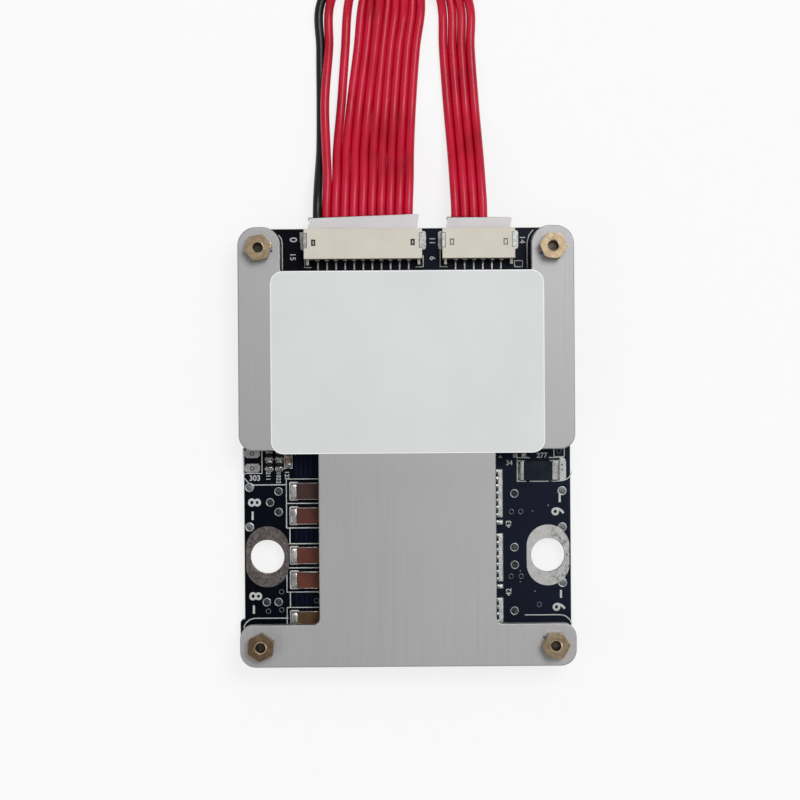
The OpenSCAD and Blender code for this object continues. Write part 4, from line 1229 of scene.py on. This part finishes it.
EAR_LINES = [
    [(-20.4, 29.2), (-20.4, 33.5), (-20.55, 34.4), (-21, 35)],
    [(20.1, 29.3), (20.1, 33.5), (20.4, 34.7), (21.1, 35.6)],
    [(-17.4, 35.4), (-17.4, 33.8)], [(-16.7, 31.5), (-16.7, 29.6), (-15.6, 29.6)],
    [(1.6, 29.6), (2.9, 29.6), (2.9, 31.5)], [(5.7, 32.7), (5.7, 29.6), (6.9, 29.6)],
    [(18, 29.5), (19.3, 29.5), (19.3, 30.5), (18, 30.5), (18, 29.5)]]
SMALL_LINES = [[(x + s * 0.62, y - 0.5), (x + s * 0.62, y - 0.85), (x + s * 0.3, y - 0.85)]
               for x in (-22.8, -21.15) for y in (-1.4, -3.0) for s in (-1, 1)]
SMALL_LINES += [[(-20.3, -1.0), (-20.3, -3.6), (-19.95, -3.6)],
                [(-19.0, -1.0), (-19.0, -3.6), (-19.35, -3.6)]]
ink = [printed(LEFT_LINES + RIGHT_LINES + EAR_LINES, LINE_W), printed(SMALL_LINES, FINE_W)]
print("printed lines:", len(LEFT_LINES) + len(RIGHT_LINES) + len(SMALL_LINES) + len(EAR_LINES))

# %% [markdown]
# The marks beside the pads are plain numbers and a minus bar. A number is text with a little
# thickness, turned into a mesh. A filled corner mark has two dots left open in it.

# %% Numbers and minus bars
SIGNS = [
    ("8", -25.4, -9.2, 2.9, -90, 0.05), ("8", -25.3, -24.7, 2.9, -90, 0.05),
    ("9", 25.0, -11.0, 2.9, 90, 0.05), ("9", 25.1, -26.8, 2.9, 90, 0.05),
    ("43", 16.75, -13.05, 1.25, 90, 0.02), ("42", 16.7, -24.3, 1.25, 90, 0.02),
    ("303", -25.2, -5.2, 1.25, 0, 0.02), ("211", -23.0, -4.85, 1.0, -90, 0.01),
    ("1022", -21.3, -5.1, 1.0, -90, 0.01), ("123", -19.9, -4.75, 1.0, -90, 0.01),
    ("277", 22.3, -1.75, 1.2, 0, 0.02), ("4", 15.4, -1.9, 0.9, -90, 0.01),
    ("34", 16.9, -2.95, 1.15, 0, 0.01),
    ("0", -18.6, 34.2, 1.7, -90, 0.03), ("15", -18.7, 31.4, 1.3, -90, 0.02),
    ("11", 4.4, 33.9, 1.3, -90, 0.02), ("6", 4.4, 31.0, 1.3, -90, 0.02),
    ("14", 19.3, 34.0, 1.3, -90, 0.02)]
BARS = [[(-25.6, -10.7), (-25.6, -12.1)], [(-25.5, -26.2), (-25.5, -27.6)],
        [(25.2, -9.5), (25.2, -8.1)], [(25.3, -25.3), (25.3, -24.0)]]
MARK_RIGHT, MARK_FOOT, MARK_HEAD, DOT_T = 26.2, -6, -2.1, 0.012


def number(text, x, y, size, turn, heavy):
    rest()
    bpy.ops.object.text_add(location=(x, y, INK_Z - INK_T), rotation=(0, 0, radians(turn)))
    sign = bpy.context.object.data
    sign.body, sign.size, sign.offset, sign.extrude = text, size, heavy, INK_T
    sign.align_x = sign.align_y = "CENTER"
    bpy.ops.object.convert(target="MESH")
    settle()
    return coat(bpy.context.object, INK)


ink += [number(*sign) for sign in SIGNS]
ink.append(printed(BARS, BAR_W))
mark = outline_sheet((25.3, MARK_FOOT), (MARK_RIGHT, MARK_HEAD),
                     [(MARK_RIGHT, y, 0.5) for y in (MARK_FOOT, MARK_HEAD)],
                     INK_Z - INK_T, INK_Z + 0.004)
ink.append(coat(mark, INK))
for y in (-3.28, -4.13):
    ink.append(coat(work("cylinder", vertices=20, radius=0.13, depth=DOT_T,
                         location=(25.63, y, INK_Z + DOT_T / 2)), MASK))
finished(joined(ink), "printed_ink", smooth=40)

# %% [markdown]
# ## Plated holes
# Where a hole passes current from one face of the board to the other, a ring of bare tin stands
# round it and its middle is filled. The ring is a flat torus round a small domed plug. Small
# rings and plain dots sit between the large ones.

# %% Plated holes
BIG_RINGS = ((-21.3, -7.4), (-22.7, -9.2), (-21.3, -10.8), (-23.35, -25.7), (-21.4, -25.7),
             (17.7, -8.0), (17.65, -16.9), (17.7, -19.8), (17.6, -27.4))
SOLID_PADS = ((-26.1, -6.7), (-26.1, -13.25), (25.6, -7.6), (25.6, -13.6), (25.6, -22.8))
SMALL_RINGS = ((-20.9, -24.0), (-23.1, -27.2), (-20.9, -27.0), (-15.1, -25.5), (17.2, -11.0),
               (18.75, -11.0), (17.1, -21.7), (18.75, -21.7), (21.7, -26.4), (25.15, -1.0))
DOTS = ((23.3, -10), (20.7, -10.9), (18.6, -20.8), (21.0, -24.2), (18.6, -22.6))
RING_TIN = cast_metal("ring_tin", (126, 128, 130), (160, 162, 164), (194, 196, 198),
                      rough=(0.3, 0.5), size=2.0, metal=0.8)
DULL_RING = cast_metal("dull_ring_tin", (90, 92, 94), (114, 116, 118), (140, 142, 144),
                       rough=(0.3, 0.5), size=2.0, metal=0.8)
RING_FILL = cast_metal("ring_filling", (18, 20, 24), (36, 39, 43), (84, 88, 92),
                       rough=(0.4, 0.6), size=1.6, metal=0.5)
PAD_FILL = cast_metal("pad_filling", (84, 87, 88), (106, 109, 109), (132, 135, 134),
                      rough=(0.4, 0.6), size=2.0, metal=0.8)


def rings(spots, radius, thick, filling, finish, dome=0.0):
    """Flat rings, each with a filling level with the board."""
    rim = work("torus", major_radius=radius - thick / 2, minor_radius=thick / 2,
               major_segments=32, minor_segments=8)
    rim.scale, rim.location.z = (1, 1, 0.3), BOARD_TOP + 0.015
    core = work("cylinder", vertices=32, radius=radius - thick * 0.9, depth=0.03,
                location=(0, 0, BOARD_TOP + 0.005))
    pick(is_upper)
    bpy.ops.mesh.inset(thickness=(radius - thick) * 0.45)
    bpy.ops.transform.translate(value=(0, 0, dome))
    both = joined([coat(rim, finish), coat(core, filling)])
    return copies(both, [(x, y, 0, 0) for x, y in spots])


holes = rings(BIG_RINGS, 0.7, 0.15, RING_FILL, RING_TIN)
holes += rings(SOLID_PADS, 0.75, 0.18, PAD_FILL, SPACER_METAL, 0.05)
holes += rings(SMALL_RINGS, 0.42, 0.1, MASK, DULL_RING)
holes += rings(DOTS, 0.12, 0.05, DULL_RING, DULL_RING)
finished(joined(holes), "plated_holes", smooth=45)

# %% [markdown]
# ## Gaps round the catches, and clips
# Each header has two windows that the catches of its plug snap into. A catch of the left one is
# sunk deep, so its window is a wide dark frame of painted shade, and the gap round a catch of the
# right one reads as a grey line, so a small grey frame of painted shade is laid into it. A tinned
# clip is pressed into a slot at each end of a header, and its solder tab is the part outside; a
# slightly larger dark block of painted shade lies under it.

# %% Catch gaps and clips
CATCH_W, CATCH_L, CATCH_IN, CATCH_DOWN = 0.7, 1.05, 1.55, 2.25
CLIP_FROM, CLIP_TO, CLIP_IN, CLIP_GAP = 0.75, 3.05, 0.42, 0.09
SHADOW_BROWN = moulded("gap_shadow", (40, 32, 28), (56, 47, 42), (74, 64, 58), rough=(0.6, 0.7))
SHADOW_GREY = moulded("gap_shadow_grey", (96, 90, 84), (118, 111, 104), (138, 131, 123), rough=(0.6, 0.7))
gaps = []
for node, gap, shadow in (("header_left", 0.27, SHADOW_BROWN), ("header_right", 0.17, SHADOW_GREY)):
    (x0, y0, z0), (x1, y1, z1) = box_mm(node)
    for x in (x0 + CATCH_IN, x1 - CATCH_IN):
        opening = work("plane", size=1, location=(x, y1 - CATCH_DOWN, z1 - 0.24),
                       scale=(CATCH_W, CATCH_L, 1))
        pick(lambda f: True)
        bpy.ops.mesh.inset(thickness=gap)
        bpy.ops.mesh.delete(type="FACE")
        gaps.append(coat(modified(opening, "SOLIDIFY", thickness=0.05, offset=0), shadow))
    for edge, side in ((x0, 1), (x1, -1)):
        for grow, rise, finish in ((CLIP_GAP, 0.008, SHADOW_BROWN), (0, 0.03, CLIP_TIN)):
            a, b = sorted((edge - side * 0.03, edge + side * (CLIP_IN + grow)))
            gaps.append(coat(block((a, y1 - CLIP_TO - grow, z1 - 0.1),
                                   (b, y1 - CLIP_FROM + grow, z1 + rise)), finish))
finished(joined(gaps), "catch_gaps")

# %% [markdown]
# The posts were fixed with a blue lacquer that squeezed out under their flats in a few places.

# %% Thread lock
traces = []
for k, (corner, dx, dy) in enumerate(((0, -0.77, -1.95), (0, 1.95, -0.44), (1, -1.9, -1.05),
                                      (3, -1.7, 1.2))):
    x, y = POSTS[corner][0] + dx, POSTS[corner][1] + dy
    traces.append(lump((x - 0.28, y - 0.22, PLATE_TOP), (x + 0.28, y + 0.22, PLATE_TOP + 0.14),
                       BLUE_LACQUER, 70 + k, 0.07, 0.1))
finished(joined(traces), "thread_lock", smooth=60)

# %% [markdown]
# ## The tie
# The strap is a flat loop: a box without its ends, its four corners rounded, thickened outward.
# The head has a window for the tail, which was cut off just above it. Fine teeth run across the
# tail. Two low rails stiffen the edges of the strap.

# %% Tie
RAIL_IN, RAIL_H = 0.9, 0.1
(x0, y0, z0), (x1, y1, z1) = box_mm("hank_tie")
strap_top = z1 - 2
strap = block((x0 + TIE_T, y0, TIE_T), (x1 - TIE_T, y1, strap_top - TIE_T))
pick(lambda f: abs(f.normal.y) > 0.9)
bpy.ops.mesh.delete(type="FACE")
pick(lambda e: abs(e.verts[0].co.y - e.verts[1].co.y) > 1, "edges")
bpy.ops.mesh.bevel(offset=0.7, segments=6, affect="EDGES")
for side in (-RAIL_IN, RAIL_IN):
    cut((0, TIE_Y + side, 0), (0, 1, 0))
modified(strap, "SOLIDIFY", thickness=TIE_T - RAIL_H, offset=1, use_even_offset=True)
alone(strap, "EDIT")
pick(lambda f: abs(f.normal.y) < 0.1 and abs(middle_of(f).y - TIE_Y) > RAIL_IN
     and max(abs(middle_of(f).x - FOLD_X) - (x1 - FOLD_X - 0.4),
             abs(middle_of(f).z - strap_top / 2) - (strap_top / 2 - 0.4)) > 0)
bpy.ops.mesh.extrude_region_shrink_fatten(TRANSFORM_OT_shrink_fatten={"value": RAIL_H})
rounded(strap, 0.04, 1, 50)

head = block((FOLD_X - 2.1, TIE_Y - 2, strap_top - 0.1), (FOLD_X + 2.1, TIE_Y + 2, z1))
pick(is_upper)
resize(0.86, 0.92, 1)
rounded(head, 0.3, 3)
carved([head], block((FOLD_X - 0.6, TIE_Y - 1.35, strap_top + 0.3),
                     (FOLD_X + 0.4, TIE_Y + 1.35, z1 + 1)))
tail = box_part((FOLD_X - 0.3, TIE_Y - 1.2, strap_top), (FOLD_X + 0.05, TIE_Y + 1.2, z1 + 0.45),
                TIE_NYLON, 0.05, 1)
tooth = modified(block((FOLD_X + 0.02, TIE_Y - 0.85, z1 - 0.7),
                       (FOLD_X + 0.14, TIE_Y + 0.85, z1 - 0.55)),
                 "ARRAY", count=4, use_relative_offset=False, use_constant_offset=True,
                 constant_offset_displace=(0, 0, 0.27))
rounded(tooth, 0.03, 1)
tie = finished(coat(joined([strap, head, tail, tooth]), TIE_NYLON), "bundle_tie",
               "hank_tie", 45)

# %% [markdown]
# ## Stripped ends
# A stripped end shows seven strands. Seven thin cylinders are cut into rings and twisted together
# with the Simple Deform modifier, and a drop of tin holds the tip.

# %% Stripped ends
TIP_L, STRAND_R, IN_SLEEVE = 3, 0.1, 0.05
strands = []
for x, y in [(0, 0)] + [(2 * STRAND_R * cos(pi * k / 3), 2 * STRAND_R * sin(pi * k / 3))
                        for k in range(6)]:
    strands.append(work("cylinder", vertices=8, radius=STRAND_R, depth=TIP_L,
                        location=(x, y, TIP_L / 2)))
    for k in range(1, 10):
        cut((0, 0, TIP_L * k / 10), (0, 0, 1))
core = modified(joined(strands), "SIMPLE_DEFORM", deform_method="TWIST", angle=radians(160),
                deform_axis="Z")
drop = work("uv_sphere", segments=16, ring_count=10, radius=0.33, location=(0, 0, TIP_L - 0.35),
            scale=(1, 1, 2))
core = alone(joined([coat(core, COPPER_TIN), coat(drop, SOLDER)]))
core.rotation_euler = (-pi / 2, 0, 0)
settle()
ends = copies(core, [(r[-1][0], END_Y - IN_SLEEVE, r[-1][2], 0) for r in ROUTES])
tips = finished(joined(ends), "stripped_ends", "lead_ends", 45)

# %% [markdown]
# ## Copper under the mask
# Where copper runs below the mask, the surface stands a little higher. On the upper face narrow
# tracks show beside the shunts. On the lower face two wide areas carry the current between the
# battery pads and the transistors, and they stay clear of the bores.

# %% Copper areas
MASK_HOLE_R = 2.95


def pour(x0, y0, x1, y1, levels=(BOARD_UNDER - 0.014, BOARD_UNDER + 0.002), corner=0.3):
    area = card((x0, y0), (x1, y1), corner, *levels)
    for node in ("terminal_left", "terminal_right") if levels[0] < BOARD_UNDER else ():
        x, y = middle(*box_mm(node))[:2]
        if x0 < x < x1:
            carved([area], work("cylinder", vertices=64, radius=MASK_HOLE_R, depth=2,
                                location=(x, y, levels[0])))
    return area


areas = [pour(x, y0, x + 0.5, y1, (BOARD_TOP - 0.002, BOARD_TOP + 0.01), 0.1)
         for x in (-18.6, -17.8, -17.0, -16.2, -15.4, -14.6)
         for y0, y1 in ((-5.0, -0.4), (-15.8, -13.75), (-26.3, -24.35))]
areas += [pour(-26.6, -24.9, -14.5, -7), pour(14.5, -26.4, 26.6, -7.6),
          pour(-13.6, -33.8, 13.6, -4, corner=1), pour(-18, 4, 18, 26, corner=1)]
finished(coat(joined(areas), TRACK), "copper_under_mask")

# %% [markdown]
# Rows of small plated holes join the copper of both faces. Only their rims show below.

# %% Plated holes of the lower face
vias = [(-11 + 2 * i, y, 0, 0) for i in range(12) for y in (-6.5, -12, -17.5, -23, -28.5)]
vias += [(x, -9 - 2 * k, 0, 0) for x in (-15.3, 15.3) for k in range(8)]
rim = work("torus", major_radius=0.3, minor_radius=0.09, major_segments=20, minor_segments=6,
           location=(0, 0, BOARD_UNDER - 0.02))
finished(joined(copies(coat(rim, SPACER_METAL), vias)), "plated_holes_under",
         smooth=45)

# %% [markdown]
# ## The cords
# Every lead is a free cord of about 250 mm. It leaves its plug and ends bare beyond the hank.
# Here each lead is matched to the side of its header.

# %% Cords
for i, lead in enumerate(LEADS):
    side = "left" if i < len(LEFT_WAYS) else "right"
